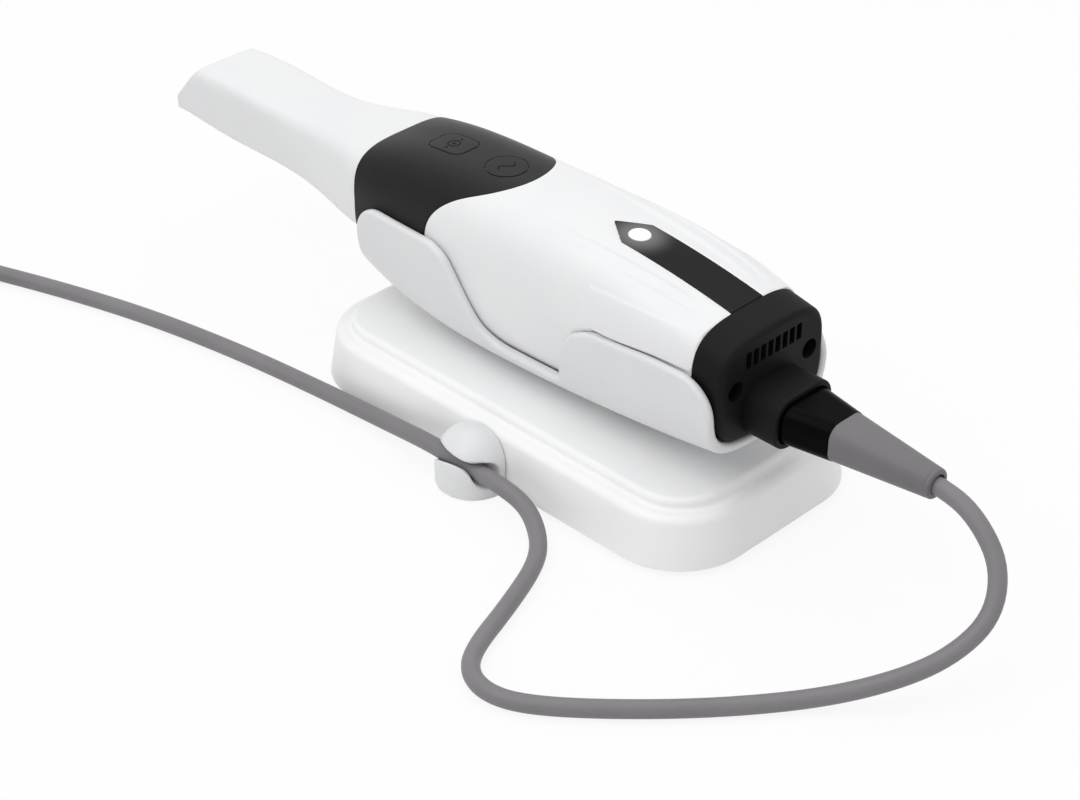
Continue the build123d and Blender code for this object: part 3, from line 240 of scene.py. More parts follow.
# %% [markdown]
# A real lead has one fixed length, and anyone who reuses the part needs it. It could be guessed from the
# points, but the curve runs inside them. So the bevel is taken off for a moment, the bare line is turned
# into short edges, and their lengths are added up.

# %% Lead length
def spline_length(piece):
    """Length of a curve's own line, in metres."""
    depth = piece.data.bevel_depth
    piece.data.bevel_depth = 0.0
    bpy.context.view_layer.update()
    line = bpy.data.meshes.new_from_object(piece)
    piece.data.bevel_depth = depth
    ends = [edge.vertices for edge in line.edges]
    return sum((line.vertices[a].co - line.vertices[b].co).length for a, b in ends)


lead_length = spline_length(lead)
print("lead length", round(lead_length, 3), "m")

# %% [markdown]
# Finishes are node materials. Nodes can be wired by hand, one link at a time, but sums are easier to
# read. So one small class stands for a node's output: adding or multiplying it adds a Math node, and one
# method makes any other node.

# %% Socket class
class Tone:
    """One output of a material's nodes. Sums and products of it add Math nodes."""

    def __init__(self, tree, socket=None):
        self.tree = tree
        self.socket = socket

    def make(self, kind, settings=None, sockets=None, out=0):
        """Any node: its type, its settings, which are set first, and the values or links of its sockets."""
        node = self.tree.nodes.new(kind)
        for name, value in (settings or {}).items():
            setattr(node, name, value)
        for name, value in (sockets or {}).items():
            if isinstance(value, Tone):
                self.tree.links.new(value.socket, node.inputs[name])
            else:
                node.inputs[name].default_value = value
        return Tone(self.tree, node.outputs[out])

    def sum_of(self, operation, first, second):
        """A Math node on two values."""
        return self.make("ShaderNodeMath", {"operation": operation}, {0: first, 1: second})

    def __add__(self, other):
        return self.sum_of("ADD", self, other)

    __radd__ = __add__

    def __sub__(self, other):
        return self.sum_of("SUBTRACT", self, other)

    def __rsub__(self, other):
        return self.sum_of("SUBTRACT", other, self)

    def __mul__(self, other):
        return self.sum_of("MULTIPLY", self, other)

    __rmul__ = __mul__

    def __pow__(self, other):
        return self.sum_of("POWER", self, other)

    def __rpow__(self, other):
        return self.sum_of("POWER", other, self)

    def between(self, low, high):
        """0 below low, 1 above high, smooth between."""
        settings = {"interpolation_type": "SMOOTHSTEP"}
        sockets = {"Value": self, "From Min": low, "From Max": high}
        return self.make("ShaderNodeMapRange", settings, sockets)

    def blend(self, dark, light):
        """A colour between two, by this value."""
        settings = {"data_type": "RGBA"}
        return self.make("ShaderNodeMix", settings, {0: self, 6: dark, 7: light}, out=2)


print("socket class:", Tone.__name__)

# %% [markdown]
# Every finish on the object starts from the same surface shader, and its patterns are laid out in the
# object's own space. They could follow an unwrapped mesh instead, but moulded grain has no direction, so
# points in space will do and no seam shows.

# %% Finish helpers
OBJECT_PLACE = 3


def new_finish(name):
    """An empty node material: the material, a Tone to make nodes with, and its surface shader."""
    material = bpy.data.materials.new(name)
    material.use_nodes = True
    tree = material.node_tree
    return material, Tone(tree), tree.nodes["Principled BSDF"]


def place_on(tone):
    """The point of the object that is being shaded, in metres."""
    return tone.make("ShaderNodeTexCoord", out=OBJECT_PLACE)


def noise(tone, place, scale, detail=2.0):
    """A cloudy value from 0 to 1; scale is in clouds per metre."""
    return tone.make("ShaderNodeTexNoise", None, {"Vector": place, "Scale": scale, "Detail": detail})


def feed(tone, socket):
    """Links a value, a colour or a shader into a socket."""
    tone.tree.links.new(tone.socket, socket)


def rgb(red, green=None, blue=None):
    """A colour with full alpha; one number gives a grey."""
    return (red, red if green is None else green, red if blue is None else blue, 1.0)


finishes = {}
print("finishes so far:", len(finishes))

# %% [markdown]
# Moulded plastic is never one flat colour. Spark-eroded moulds leave a fine grain, handling leaves faint
# patches of different gloss, and the eye reads both at a glance. A scanned picture of plastic would show
# this too, but two noises do it at any size: a grain of tenths of a millimetre that bumps the surface,
# and broad patches that change tint and gloss a little. Soft rubber also has a pale bloom at its edges,
# which is the shader's sheen.

# %% Plastic finish
CLOUD_EDGES = (0.3, 0.7)
PATCHES_PER_METRE = 45.0
GRAIN_HEIGHT = 0.06
GRAIN_GLOSS = 0.6
BLOOM_ROUGHNESS = 0.4


def moulded(name, dark, light, rough, grain, grain_size, patch=0.05, shine=0.5, bloom=0.0):
    """A moulded plastic or rubber: two near colours, a roughness, a grain, and its shine and bloom."""
    material, tone, shader = new_finish(name)
    place = place_on(tone)
    patches = noise(tone, place, PATCHES_PER_METRE, detail=3.0).between(*CLOUD_EDGES)
    fine = noise(tone, place, 1.0 / (grain_size * MM))
    feed(patches.blend(dark, light), shader.inputs["Base Color"])
    feed(rough + patches * patch + fine * (patch * GRAIN_GLOSS), shader.inputs["Roughness"])
    sockets = {"Strength": grain, "Distance": GRAIN_HEIGHT * MM, "Height": fine}
    feed(tone.make("ShaderNodeBump", None, sockets), shader.inputs["Normal"])
    shader.inputs["Specular IOR Level"].default_value = shine
    shader.inputs["Sheen Weight"].default_value = bloom
    shader.inputs["Sheen Roughness"].default_value = BLOOM_ROUGHNESS
    return material


print("plastic grain is", GRAIN_HEIGHT, "mm high at full strength")

# %% [markdown]
# The four whites are one satin plastic from four moulds. They could share one material, but side by side
# the base looks the brightest and the saddle the greyest, so each has its own pair of near whites: the
# base's is brighter as painted light, and the saddle's, which the clip shares, is greyer as painted shade.

# %% White finishes
finishes["white_housing"] = moulded(
    "satin_white_housing", rgb(0.805, 0.81, 0.82), rgb(0.825, 0.83, 0.837),
    rough=0.30, grain=0.10, grain_size=0.25,
)
finishes["white_tip"] = moulded(
    "satin_white_tip", rgb(0.785, 0.79, 0.80), rgb(0.805, 0.81, 0.817),
    rough=0.33, grain=0.08, grain_size=0.22,
)
# The saddle's white, which the clip shares, is greyer than the housing's: painted shade.
finishes["white_cradle"] = moulded(
    "satin_white_cradle_painted_shade", rgb(0.735, 0.741, 0.751), rgb(0.755, 0.76, 0.767),
    rough=0.34, grain=0.12, grain_size=0.28,
)
# The base's white is brighter than the housing's: painted light.
finishes["white_base"] = moulded(
    "satin_white_base_painted_light", rgb(0.915, 0.918, 0.923), rgb(0.935, 0.937, 0.94),
    rough=0.34, grain=0.12, grain_size=0.28,
)
print("white finishes:", len(finishes))

# %% [markdown]
# The cover, the keys, the cap and the plug are dark rubber or plastic, and the boot and the lead's jacket
# are warm grey. Black plastic could simply be pure black, but nothing real is: its colour is set just
# above black, and its shine is kept low, so that the bright studio doesn't turn it grey.

# %% Dark and grey finishes
SOFT_TOUCH = {"grain": 0.35, "grain_size": 0.20, "patch": 0.08, "shine": 0.14, "bloom": 0.30}
finishes["soft_cover"] = moulded("soft_black_cover", rgb(0.004), rgb(0.007), rough=0.48, **SOFT_TOUCH)
finishes["soft_key"] = moulded("soft_black_key", rgb(0.005), rgb(0.008), rough=0.50, **SOFT_TOUCH)
finishes["switch_plastic"] = moulded(
    "dark_switch_plastic", rgb(0.03), rgb(0.04),
    rough=0.45, grain=0.2, grain_size=0.3,
)
finishes["black_cap"] = moulded(
    "matt_black_cap", rgb(0.005), rgb(0.007),
    rough=0.52, grain=0.45, grain_size=0.26, patch=0.07, shine=0.12,
)
finishes["gloss_plug"] = moulded(
    "gloss_black_plug", rgb(0.001), rgb(0.0015),
    rough=0.24, grain=0.06, grain_size=0.3, shine=0.03,
)
finishes["grey_boot"] = moulded(
    "grey_boot_rubber", rgb(0.155, 0.147, 0.156), rgb(0.172, 0.164, 0.173),
    rough=0.45, grain=0.2, grain_size=0.22, patch=0.06, shine=0.35,
)
finishes["grey_jacket"] = moulded(
    "grey_lead_jacket", rgb(0.195, 0.185, 0.195), rgb(0.215, 0.205, 0.215),
    rough=0.42, grain=0.18, grain_size=0.2, patch=0.06, shine=0.4,
)
print("finishes with dark and grey ones:", len(finishes))

# %% [markdown]
# Under the cradle lie a pale plate and a rubber pad, and a woven tie holds the coil. They are hardly
# seen, so they could do without a finish of their own, but someone may turn the part over. The same
# recipe does for them: the pad and the tie get a coarse, strong grain and hardly any gloss.

# %% Underside and tie finishes
finishes["base_plastic"] = moulded(
    "pale_base_plate", rgb(0.6), rgb(0.64),
    rough=0.45, grain=0.25, grain_size=0.3,
)
finishes["pad_rubber"] = moulded(
    "grey_pad_rubber", rgb(0.13), rgb(0.16),
    rough=0.75, grain=0.5, grain_size=0.4, patch=0.1,
)
finishes["tie_fabric"] = moulded(
    "woven_tie", rgb(0.016), rgb(0.03),
    rough=0.85, grain=0.9, grain_size=0.5, patch=0.08,
)
print("plastic finishes:", len(finishes))

# %% [markdown]
# The screws, the inner frame, the lens blocks, the weight and the plug's shell are metal, and the tip's
# mirror is silvered. Worked metal shows fine lines along the way it was drawn. The shader's anisotropy
# can give them, but the pieces here are small and mostly hidden, so a noise stretched along X is enough:
# it streaks the colour and the gloss.

# %% Metal finishes
STREAK_SCALE = (60.0, 900.0, 900.0)
STREAK_SHADE = 0.85


def metal(name, colour, rough, streak):
    """A metal with a fine directional grain along X."""
    material, tone, shader = new_finish(name)
    sockets = {"Vector": place_on(tone), "Scale": STREAK_SCALE}
    lines = noise(tone, tone.make("ShaderNodeMapping", None, sockets), 1.0, detail=3.0)
    shaded = rgb(*(channel * STREAK_SHADE for channel in colour[:3]))
    feed(lines.between(*CLOUD_EDGES).blend(shaded, colour), shader.inputs["Base Color"])
    feed(rough + lines * streak, shader.inputs["Roughness"])
    shader.inputs["Metallic"].default_value = 1.0
    return material


finishes["dark_steel"] = metal("blackened_screw_steel", rgb(0.03), rough=0.45, streak=0.15)
finishes["frame_metal"] = metal("blasted_aluminium", rgb(0.55, 0.56, 0.58), rough=0.38, streak=0.15)
finishes["module_metal"] = metal("black_anodised_block", rgb(0.06), rough=0.4, streak=0.12)
finishes["cast_weight"] = metal("cast_weight", rgb(0.14), rough=0.6, streak=0.2)
finishes["plated_shell"] = metal("plated_plug_shell", rgb(0.66, 0.66, 0.67), rough=0.2, streak=0.12)
finishes["mirror_plate"] = metal("tip_mirror_silver", rgb(0.86, 0.88, 0.9), rough=0.03, streak=0.02)
print("finishes with metals:", len(finishes))

# %% [markdown]
# Inside the housing are green circuit boards. Their tracks could be drawn one by one, but the housing
# hides nearly all of them, so a wave pattern with bends stands for them: where the wave is high, the
# lacquer is paler and a little less glossy.

# %% Board finish
BOARD_GREEN = rgb(0.008, 0.055, 0.03)
TRACK_GREEN = rgb(0.02, 0.11, 0.05)
TRACK_EDGES = (0.72, 0.8)


def roughen(shader, mask, rough, spread):
    """A roughness that goes up by a spread where a mask is 1."""
    feed(rough + mask * spread, shader.inputs["Roughness"])


def circuit_board(name):
    """Green board lacquer with fine copper tracks showing as slightly paler lines."""
    material, tone, shader = new_finish(name)
    sockets = {"Vector": place_on(tone), "Scale": 260.0, "Distortion": 6.0}
    tracks = tone.make("ShaderNodeTexWave", {"bands_direction": "Y"}, sockets, out=1)
    paler = tracks.between(*TRACK_EDGES)
    feed(paler.blend(BOARD_GREEN, TRACK_GREEN), shader.inputs["Base Color"])
    roughen(shader, paler, rough=0.32, spread=0.1)
    return material


finishes["circuit_board"] = circuit_board("green_board")
print("finishes with the board:", len(finishes))

# %% [markdown]
# A window of thin coated glass closes the nose. It could be left out, since it is nearly clear, but its
# reflection is what shows that the nose is closed. The shader's transmission makes it glass, and a faint
# film, rougher in places, keeps it from being perfect.

# %% Glass finish
GLASS_TINT = rgb(0.86, 0.93, 0.95)
GLASS_IOR = 1.5
FILM_PER_METRE = 120.0


def clear_window(name):
    """Thin coated glass with a faint film."""
    material, tone, shader = new_finish(name)
    shader.inputs["Base Color"].default_value = GLASS_TINT
    shader.inputs["Transmission Weight"].default_value = 1.0
    shader.inputs["IOR"].default_value = GLASS_IOR
    film = noise(tone, place_on(tone), FILM_PER_METRE)
    roughen(shader, film, rough=0.02, spread=0.03)
    return material


finishes["clear_glass"] = clear_window("coated_window_glass")
print("finishes with the glass:", len(finishes))

# %% [markdown]
# A black gloss strip is let into the housing's top, with a round white status light in its front end. A
# real lamp could be put under it, but its light would be lost in a bright studio. So the light is painted
# by distance: the window glows and dims at its rim, and the strip around it carries a soft halo.

# %% Strip and light finishes
LIGHT_PLACE = (21.2, 0.0, 69.0)
LIGHT_RADIUS = 3.0
DIM_SHARES = (0.84, 1.04)
RIM_GLOW = rgb(0.30)
HALO_GLOW = rgb(0.17)
HALO_SPAN = (0.0026, 0.0120)
HALO_FALL = 1.6
HAZE_PER_METRE = 160.0


def lamp_distance(tone):
    """How far a point of the surface lies from the lamp, in metres."""
    lamp = tuple(v * MM for v in LIGHT_PLACE)
    sockets = {0: place_on(tone), 1: lamp}
    return tone.make("ShaderNodeVectorMath", {"operation": "DISTANCE"}, sockets, out=1)


def strip_gloss(name):
    """Black gloss inlay; the lamp in its front end spills a soft halo over it."""
    material, tone, shader = new_finish(name)
    halo = (1.0 - lamp_distance(tone).between(*HALO_SPAN)) ** HALO_FALL
    feed(halo.blend(rgb(0.0), HALO_GLOW), shader.inputs["Emission Color"])
    shader.inputs["Emission Strength"].default_value = 1.0
    haze = noise(tone, place_on(tone), HAZE_PER_METRE)
    feed(haze.blend(rgb(0.005), rgb(0.007)), shader.inputs["Base Color"])
    roughen(shader, haze, rough=0.2, spread=0.06)
    shader.inputs["Specular IOR Level"].default_value = 0.1
    return material


def lit_window(name):
    """Diffuser over a white lamp: bright in the middle and dimmer towards its rim."""
    material, tone, shader = new_finish(name)
    rim = lamp_distance(tone).between(*(LIGHT_RADIUS * share * MM for share in DIM_SHARES))
    feed(rim.blend(rgb(1.0), RIM_GLOW), shader.inputs["Emission Color"])
    shader.inputs["Emission Strength"].default_value = 1.0
    shader.inputs["Base Color"].default_value = rgb(0.25)
    shader.inputs["Roughness"].default_value = 0.25
    return material


finishes["gloss_strip"] = strip_gloss("black_gloss_strip")
finishes["light_lens"] = lit_window("lit_diffuser")
print("finishes in all:", len(finishes))

# %% [markdown]
# Each solid names the kind of material it is made of, so the finishes can be handed out in one loop.
# Doing it by hand, piece by piece, would leave some forgotten. Only the base differs from its entry: it
# shares the saddle's plastic there, and gets a brighter white here, which is painted light.

# %% Give the solids their finishes
slot_of = {row["node"]: row["material_slot"] for row in frame["record"]["subparts"]}
# The base's brighter white is painted light.
slot_of["base_shell"] = "white_base"
for node_name, piece in nodes.items():
    piece.data.materials.clear()
    piece.data.materials.append(finishes[slot_of[node_name]])
lead.data.materials.append(finishes["grey_jacket"])
print("dressed", len(nodes), "solids and the lead")

# %% [markdown]
# The housing is one smooth sleeve whose section is a rectangle with very round corners. The section is
# given at six places, as a half width, a lowest and a highest point. Straight lines between them would
# leave creases, so a cubic runs through each row of values. Blender has curves for this, but a few lines
# of numpy give the value at any place, which later steps need.

# %% Housing form
HOUSING = [
    (-68.7, 19.7, 35.0, 65.8),
    (-52.0, 20.6, 28.2, 68.6),
    (-25.0, 21.0, 24.4, 69.8),
    (10.0, 21.0, 25.3, 69.3),
    (40.0, 20.8, 28.0, 66.8),
    (67.8, 20.1, 32.0, 61.8),
]
stations, half_widths, lows, tops = np.array(HOUSING).T


def through(values):
    """A smooth curve through one value at each section; one cubic covers the two spans at either end."""
    values = np.array(values)
    span = np.diff(stations)
    slope = np.diff(values) / span
    count = len(stations)
    rows = np.zeros((count, count))
    right = np.zeros(count)
    for k in range(1, count - 1):
        rows[k, k - 1 : k + 2] = span[k - 1], 2 * (span[k - 1] + span[k]), span[k]
        right[k] = 6 * (slope[k] - slope[k - 1])
    rows[0, :3] = span[1], -span[0] - span[1], span[0]
    rows[-1, -3:] = span[-1], -span[-2] - span[-1], span[-2]
    bend = np.linalg.solve(rows, right)

    def value_at(x):
        k = np.clip(np.searchsorted(stations, x) - 1, 0, count - 2)
        before = x - stations[k]
        after = stations[k + 1] - x
        curve = (bend[k] * after**3 + bend[k + 1] * before**3) / (6 * span[k])
        start = values[k] / span[k] - bend[k] * span[k] / 6
        end = values[k + 1] / span[k] - bend[k + 1] * span[k] / 6
        return curve + start * after + end * before

    return value_at


half_at = through(half_widths)
middle_at = through((lows + tops) / 2)
height_at = through((tops - lows) / 2)
print("housing at its middle: half width", round(float(half_at(0.0)), 2), "mm")

# %% [markdown]
# The saddle is the shell of the cradle that holds the handset, with two flaps on each side and a dip
# between them for the fingers. The solid's rim is drawn with straight lines; a moulded rim runs in one
# easy line, low in the dip and soft at the rear flap's front corner. The shell could be modelled afresh,
# but its fit would be lost. So its mesh is copied, and each point of the copy slides down along the
# sleeve's side, which keeps wall and gap.

# %% Slide along the sleeve
SECTION_POWER = 3.6
GROWTH_LIMITS = (-4.0, 12.0)
GROWTH_HALVINGS = 30
SLIDE_SPAN = (0.05, 0.36)


def growth_at(x, y, z):
    """How far the sleeve's section grows until it passes through a point, found by halving."""
    low = np.full(len(x), GROWTH_LIMITS[0])
    high = np.full(len(x), GROWTH_LIMITS[1])
    for _ in range(GROWTH_HALVINGS):
        growth = (low + high) / 2
        across = np.abs(y) / (half_at(x) + growth)
        upright = np.abs(z - middle_at(x)) / (height_at(x) + growth)
        outside = across**SECTION_POWER + upright**SECTION_POWER > 1
        low = np.where(outside, growth, low)
        high = np.where(outside, high, growth)
    return high


def slid_down(x, y, z, drop):
    """Points moved down along the sleeve's side: by the whole drop on the walls, by none underneath."""
    growth = growth_at(x, y, z)
    reach = height_at(x) + growth
    slide = drop * ease((z - middle_at(x)) / reach + 1, *SLIDE_SPAN)
    lower_z = z - slide
    upright = np.clip(np.abs(lower_z - middle_at(x)) / reach, 0, 1)
    side = (half_at(x) + growth) * (1 - upright**SECTION_POWER) ** (1 / SECTION_POWER)
    return np.where(slide > 0, np.copysign(side, y), y), lower_z


print("points slide along a section of power", SECTION_POWER)

# %% [markdown]
# How far the rim drops changes along the handset: a little on the front flap, most in the dip and at the
# corner behind it, and not at all at the rear. Each change is one smooth rise or fall, so the rim has no
# kink.

# %% Saddle
FRONT_DROP = 0.9
DROP_CHANGES = [
    (1.9, -31.0, -15.0),
    (0.5, 10.0, 19.0),
    (-1.9, 20.5, 28.0),
    (-1.4, 28.0, 50.0),
]


def rim_drop(x):
    """How far the saddle's rim lies under the solid's, at a place along the handset."""
    drop = FRONT_DROP
    for change, start, stop in DROP_CHANGES:
        drop = drop + change * ease(x, start, stop)
    return drop


def placed(piece, body, slot, *stands_for):
    """Gives a piece its body and hides the nodes that it stands for. Its slot is not used."""
    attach(piece, body)
    if stands_for:
        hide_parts(*stands_for)
    return piece


saddle_mesh = nodes["saddle"].data.copy()
solid_points = np.empty(3 * len(saddle_mesh.vertices))
saddle_mesh.vertices.foreach_get("co", solid_points)
solid_x, solid_y, solid_z = solid_points.reshape(-1, 3).T / MM
saddle_y, saddle_z = slid_down(solid_x, solid_y, solid_z, rim_drop(solid_x))
saddle_points = np.stack([solid_x, saddle_y, saddle_z], axis=-1) * MM
saddle_mesh.vertices.foreach_set("co", saddle_points.ravel())
saddle_mesh.update()
saddle = bpy.data.objects.new("saddle_shell", saddle_mesh)
scene.collection.objects.link(saddle)
placed(saddle, "scanner", "white_cradle", "saddle")
print("saddle: rim lowered by up to", round(float((solid_z - saddle_z).max()), 2), "mm")

# %% [markdown]
# Three soft steps on each side of the housing tell the fingers where to hold it. A moulded step has no
# crease: it swells over a millimetre or so. It could be a painted bump, but then the outline would stay
# plain, so it is real height. Each step has a line where it starts and a rise that grows and dies away
# along the handset, and at the foot all of them die away at the flap's rim.

# %% Grip steps
UPPER_RISE = through([-0.9, -0.9, -0.15, 0.48, 0.46, -1.2])
MIDDLE_RISE = through([-1.2, -1.2, -1.0, 0.78, 1.02, -1.15])
SIDE_RISE = through([-1.2, -1.2, -1.0, 1.1, 1.55, -1.05])
UPPER_LINE = ((-8.0, 13.2), (62.0, 9.6))
MIDDLE_LINE = ((7.0, 16.5), (64.0, 12.9))
SIDE_TOP = 61.4
SIDE_FRONT_LINE = ((54.2, 20.6), (SIDE_TOP, 23.4))
STEP_SOFT = 1.35
STEP_LEAD = 0.35
FLAP_TOP = 52.8
FLAP_CORNER_X = 25.4
FLAP_CORNER = 7.0
FOOT_TOP = 53.1
FOOT_UNDER_RIM = 0.5


def line_at(place, line):
    """Where a step's straight line is, at a place between its two ends or past them."""
    start, end = line
    return start[1] + (place - start[0]) * (end[1] - start[1]) / (end[0] - start[0])


def past(value, line):
    """0 well before a step's line, 1 from just before it."""
    return ease(value, line - STEP_LEAD - STEP_SOFT, line - STEP_LEAD)


def step_foot(x, z):
    """0 behind the rear flap, 1 above its rim."""
    rim_run = np.clip(FLAP_CORNER_X - x, 0, FLAP_CORNER)
    rim = FLAP_TOP - FLAP_CORNER + np.sqrt(FLAP_CORNER**2 - rim_run**2) - FOOT_UNDER_RIM
    drop = rim_drop(x)
    return ease(z, rim - drop, FOOT_TOP - drop)


def grip_rise(x, y, z):
    """How far the grip stands out of the plain sleeve at a point."""
    out = np.abs(y)
    upper = np.maximum(UPPER_RISE(x), 0) * past(out, line_at(x, UPPER_LINE))
    middle = np.maximum(MIDDLE_RISE(x), 0) * past(out, line_at(x, MIDDLE_LINE))
    front = past(x, line_at(z, SIDE_FRONT_LINE))
    side = np.maximum(SIDE_RISE(x), 0) * past(-z, -SIDE_TOP) * front
    return np.maximum(np.maximum(upper, middle), side) * step_foot(x, z)


print("grip rises", round(float(grip_rise(36.0, 20.0, 58.0)), 2), "mm behind its front line")

# %% [markdown]
# The steps are shown on a thin skin that lies a hair's breadth over the solid housing. The solid could be
# cut up and rounded instead, but a fresh grid of even quads takes the light more smoothly. First come the
# grid's angles round the section, closer together where the steps are.

# %% Skin section
SKIN_ROUND = 190
TURN_SAMPLES = 4001
FULLEST_X = 10.0
STEPS_ABOVE = 0.2
STEPS_BEYOND = 0.35
STEP_CLOSENESS = 3.0


def signed_power(value):
    """A circle's coordinate turned into that of the housing's rounded section."""
    return np.sign(value) * np.abs(value) ** (2 / SECTION_POWER)


def section_turns():
    """Angles round the section, evenly spaced along it but closer together where the steps are."""
    turn = np.linspace(0, 2 * pi, TURN_SAMPLES)
    across, upright = signed_power(np.cos(turn)), signed_power(np.sin(turn))
    run = np.hypot(np.diff(across) * half_at(FULLEST_X), np.diff(upright) * height_at(FULLEST_X))
    near_steps = (upright[1:] > STEPS_ABOVE) & (np.abs(across[1:]) > STEPS_BEYOND)
    run = np.concatenate([[0], np.cumsum(run * np.where(near_steps, STEP_CLOSENESS, 1.0))])
    return np.interp(np.linspace(0, run[-1], SKIN_ROUND, endpoint=False), run, turn)


def sleeve(x, across, upright, grow):
    """A point of the sleeve whose section is grown by a distance."""
    return (half_at(x) + grow) * across, middle_at(x) + (height_at(x) + grow) * upright


turns = section_turns()
round_across = signed_power(np.cos(turns))
round_upright = signed_power(np.sin(turns))
print("skin section:", len(turns), "points")

# %% [markdown]
# The white housing starts where the dark cover ends, along a curved seam. The seam's curve could be typed
# in again, but the solid already has it: under the cover the housing lies deeper. So rays are cast
# inwards at the solid, and the place where the depth jumps is found by halving.

# %% Seam with the cover
SEAM_LIMITS = (-41.5, -15.0)
SEAM_HALVINGS = 16
CAST_FROM = 1.3
COVERED_DEPTH = 0.6


def surface_tree(node_name):
    """A node's triangles, ready for ray casts, in metres."""
    mesh = nodes[node_name].data
    return BVHTree.FromPolygons([v.co for v in mesh.vertices], [tuple(f.vertices) for f in mesh.polygons])


body_tree = surface_tree("body_shell")


def seam_place(across, upright):
    """Where the white housing starts behind the dark cover, at one angle of the section."""
    covered, bare = SEAM_LIMITS
    for _ in range(SEAM_HALVINGS):
        x = (covered + bare) / 2
        y, z = sleeve(x, across, upright, 0.0)
        core = Vector((x, 0, middle_at(x)))
        spoke = Vector((x, y, z)) - core
        hit = body_tree.ray_cast((core + spoke * CAST_FROM) * MM, -spoke)
        is_bare = hit[0] is not None and hit[3] / MM - (CAST_FROM - 1) * spoke.length < COVERED_DEPTH
        covered, bare = (covered, x) if is_bare else (x, bare)
    return bare


seam = np.array([seam_place(across, upright) for across, upright in zip(round_across, round_upright)])
print("seam from", round(float(seam.min()), 1), "to", round(float(seam.max()), 1), "mm")

# %% [markdown]
# Now the skin's height over the sleeve is set at each grid point. It is the grip's rise and a slight
# lift, but at both ends it tucks into the seams, and under the gloss strip it stays below the strip.
# Separate patches could be joined here, but one height for the whole grid leaves no joint to hide.

# %% Skin height
SKIN_ALONG = 190
SKIN_LIFT = 0.07
SKIN_TUCK = 0.12
SKIN_EDGE = 0.7
SKIN_MARGIN = 0.05
CAP_FRONT = 58.3
STRIP_TIP = 12.0
STRIP_SHOULDER = 20.3
STRIP_HALF = 6.0
STRIP_TUCK = 0.5
STRIP_EDGE = (0.2, 0.9)


def under_strip(x, y, z):
    """1 under the gloss strip, 0 outside it; the strip comes to a point at its front."""
    strip_half = STRIP_HALF * np.clip((x - STRIP_TIP) / (STRIP_SHOULDER - STRIP_TIP), 0, 1)
    return ease(strip_half - np.abs(y), *STRIP_EDGE) * (z > middle_at(x))


across, upright = round_across[:, None], round_upright[:, None]
skin_front = (seam + SKIN_MARGIN)[:, None]
skin_back = CAP_FRONT - SKIN_MARGIN
skin_x = skin_front + (skin_back - skin_front) * np.linspace(0, 1, SKIN_ALONG)[None, :]
plain_y, plain_z = sleeve(skin_x, across, upright, 0.0)
from_edge = np.minimum(skin_x - skin_front, skin_back - skin_x)
tucked = -SKIN_TUCK + (SKIN_TUCK + SKIN_LIFT) * ease(from_edge, 0.0, SKIN_EDGE)
grow = grip_rise(skin_x, plain_y, plain_z) + tucked - STRIP_TUCK * under_strip(skin_x, plain_y, plain_z)
skin_y, skin_z = sleeve(skin_x, across, upright, grow)
print("skin height from", round(float(grow.min()), 2), "to", round(float(grow.max()), 2), "mm")

# %% [markdown]
# The grid becomes a mesh of quads, closed round the section. A sheet without thickness has no inside, so
# a Solidify modifier gives it a thin wall, inwards. The modifier is then settled into the mesh, which
# leaves a plain mesh that any other program can read.

# %% Skin mesh
SKIN_THICKNESS = 0.7


def settle(piece):
    """Turns a piece's modifiers into its own smooth-shaded mesh."""
    settled = bpy.data.meshes.new_from_object(piece.evaluated_get(bpy.context.evaluated_depsgraph_get()))
    settled.polygons.foreach_set("use_smooth", [True] * len(settled.polygons))
    piece.modifiers.clear()
    piece.data = settled


skin_points = np.stack([skin_x, skin_y, skin_z], axis=-1).reshape(-1, 3) * MM
skin_faces = []
for ring in range(SKIN_ROUND):
    here = ring * SKIN_ALONG
    there = (ring + 1) % SKIN_ROUND * SKIN_ALONG
    skin_faces += [(here + k, there + k, there + k + 1, here + k + 1) for k in range(SKIN_ALONG - 1)]
skin_mesh = bpy.data.meshes.new("housing_skin")
skin_mesh.from_pydata(skin_points.tolist(), [], skin_faces)
skin = bpy.data.objects.new("housing_skin", skin_mesh)
scene.collection.objects.link(skin)
thick = skin.modifiers.new("thick", "SOLIDIFY")
thick.thickness = SKIN_THICKNESS * MM
thick.offset = -1.0
settle(skin)
skin.data.materials.append(finishes["white_housing"])
placed(skin, "scanner", "white_housing")
print("housing skin:", len(skin.data.polygons), "faces")

# %% [markdown]
# The clip on the cradle's side is a domed knob, softer than its drawing: the mould has rounded every
# edge. Bevels would round it edge by edge, and they fail where cuts meet. So the knob is cut from simple
# bodies, rebuilt on a fine grid and smoothed, which wears all its edges alike. These are the helpers for
# that.

# %% Soft-edged pieces
def mesh_object(name, shape):
    """A mesh object from a bmesh in millimetres, smooth shaded."""
    bmesh.ops.scale(shape, vec=(MM, MM, MM), verts=shape.verts)
    bmesh.ops.recalc_face_normals(shape, faces=shape.faces)
    mesh = bpy.data.meshes.new(name)
    shape.to_mesh(mesh)
    shape.free()
    mesh.polygons.foreach_set("use_smooth", [True] * len(mesh.polygons))
    piece = bpy.data.objects.new(name, mesh)
    scene.collection.objects.link(piece)
    return piece


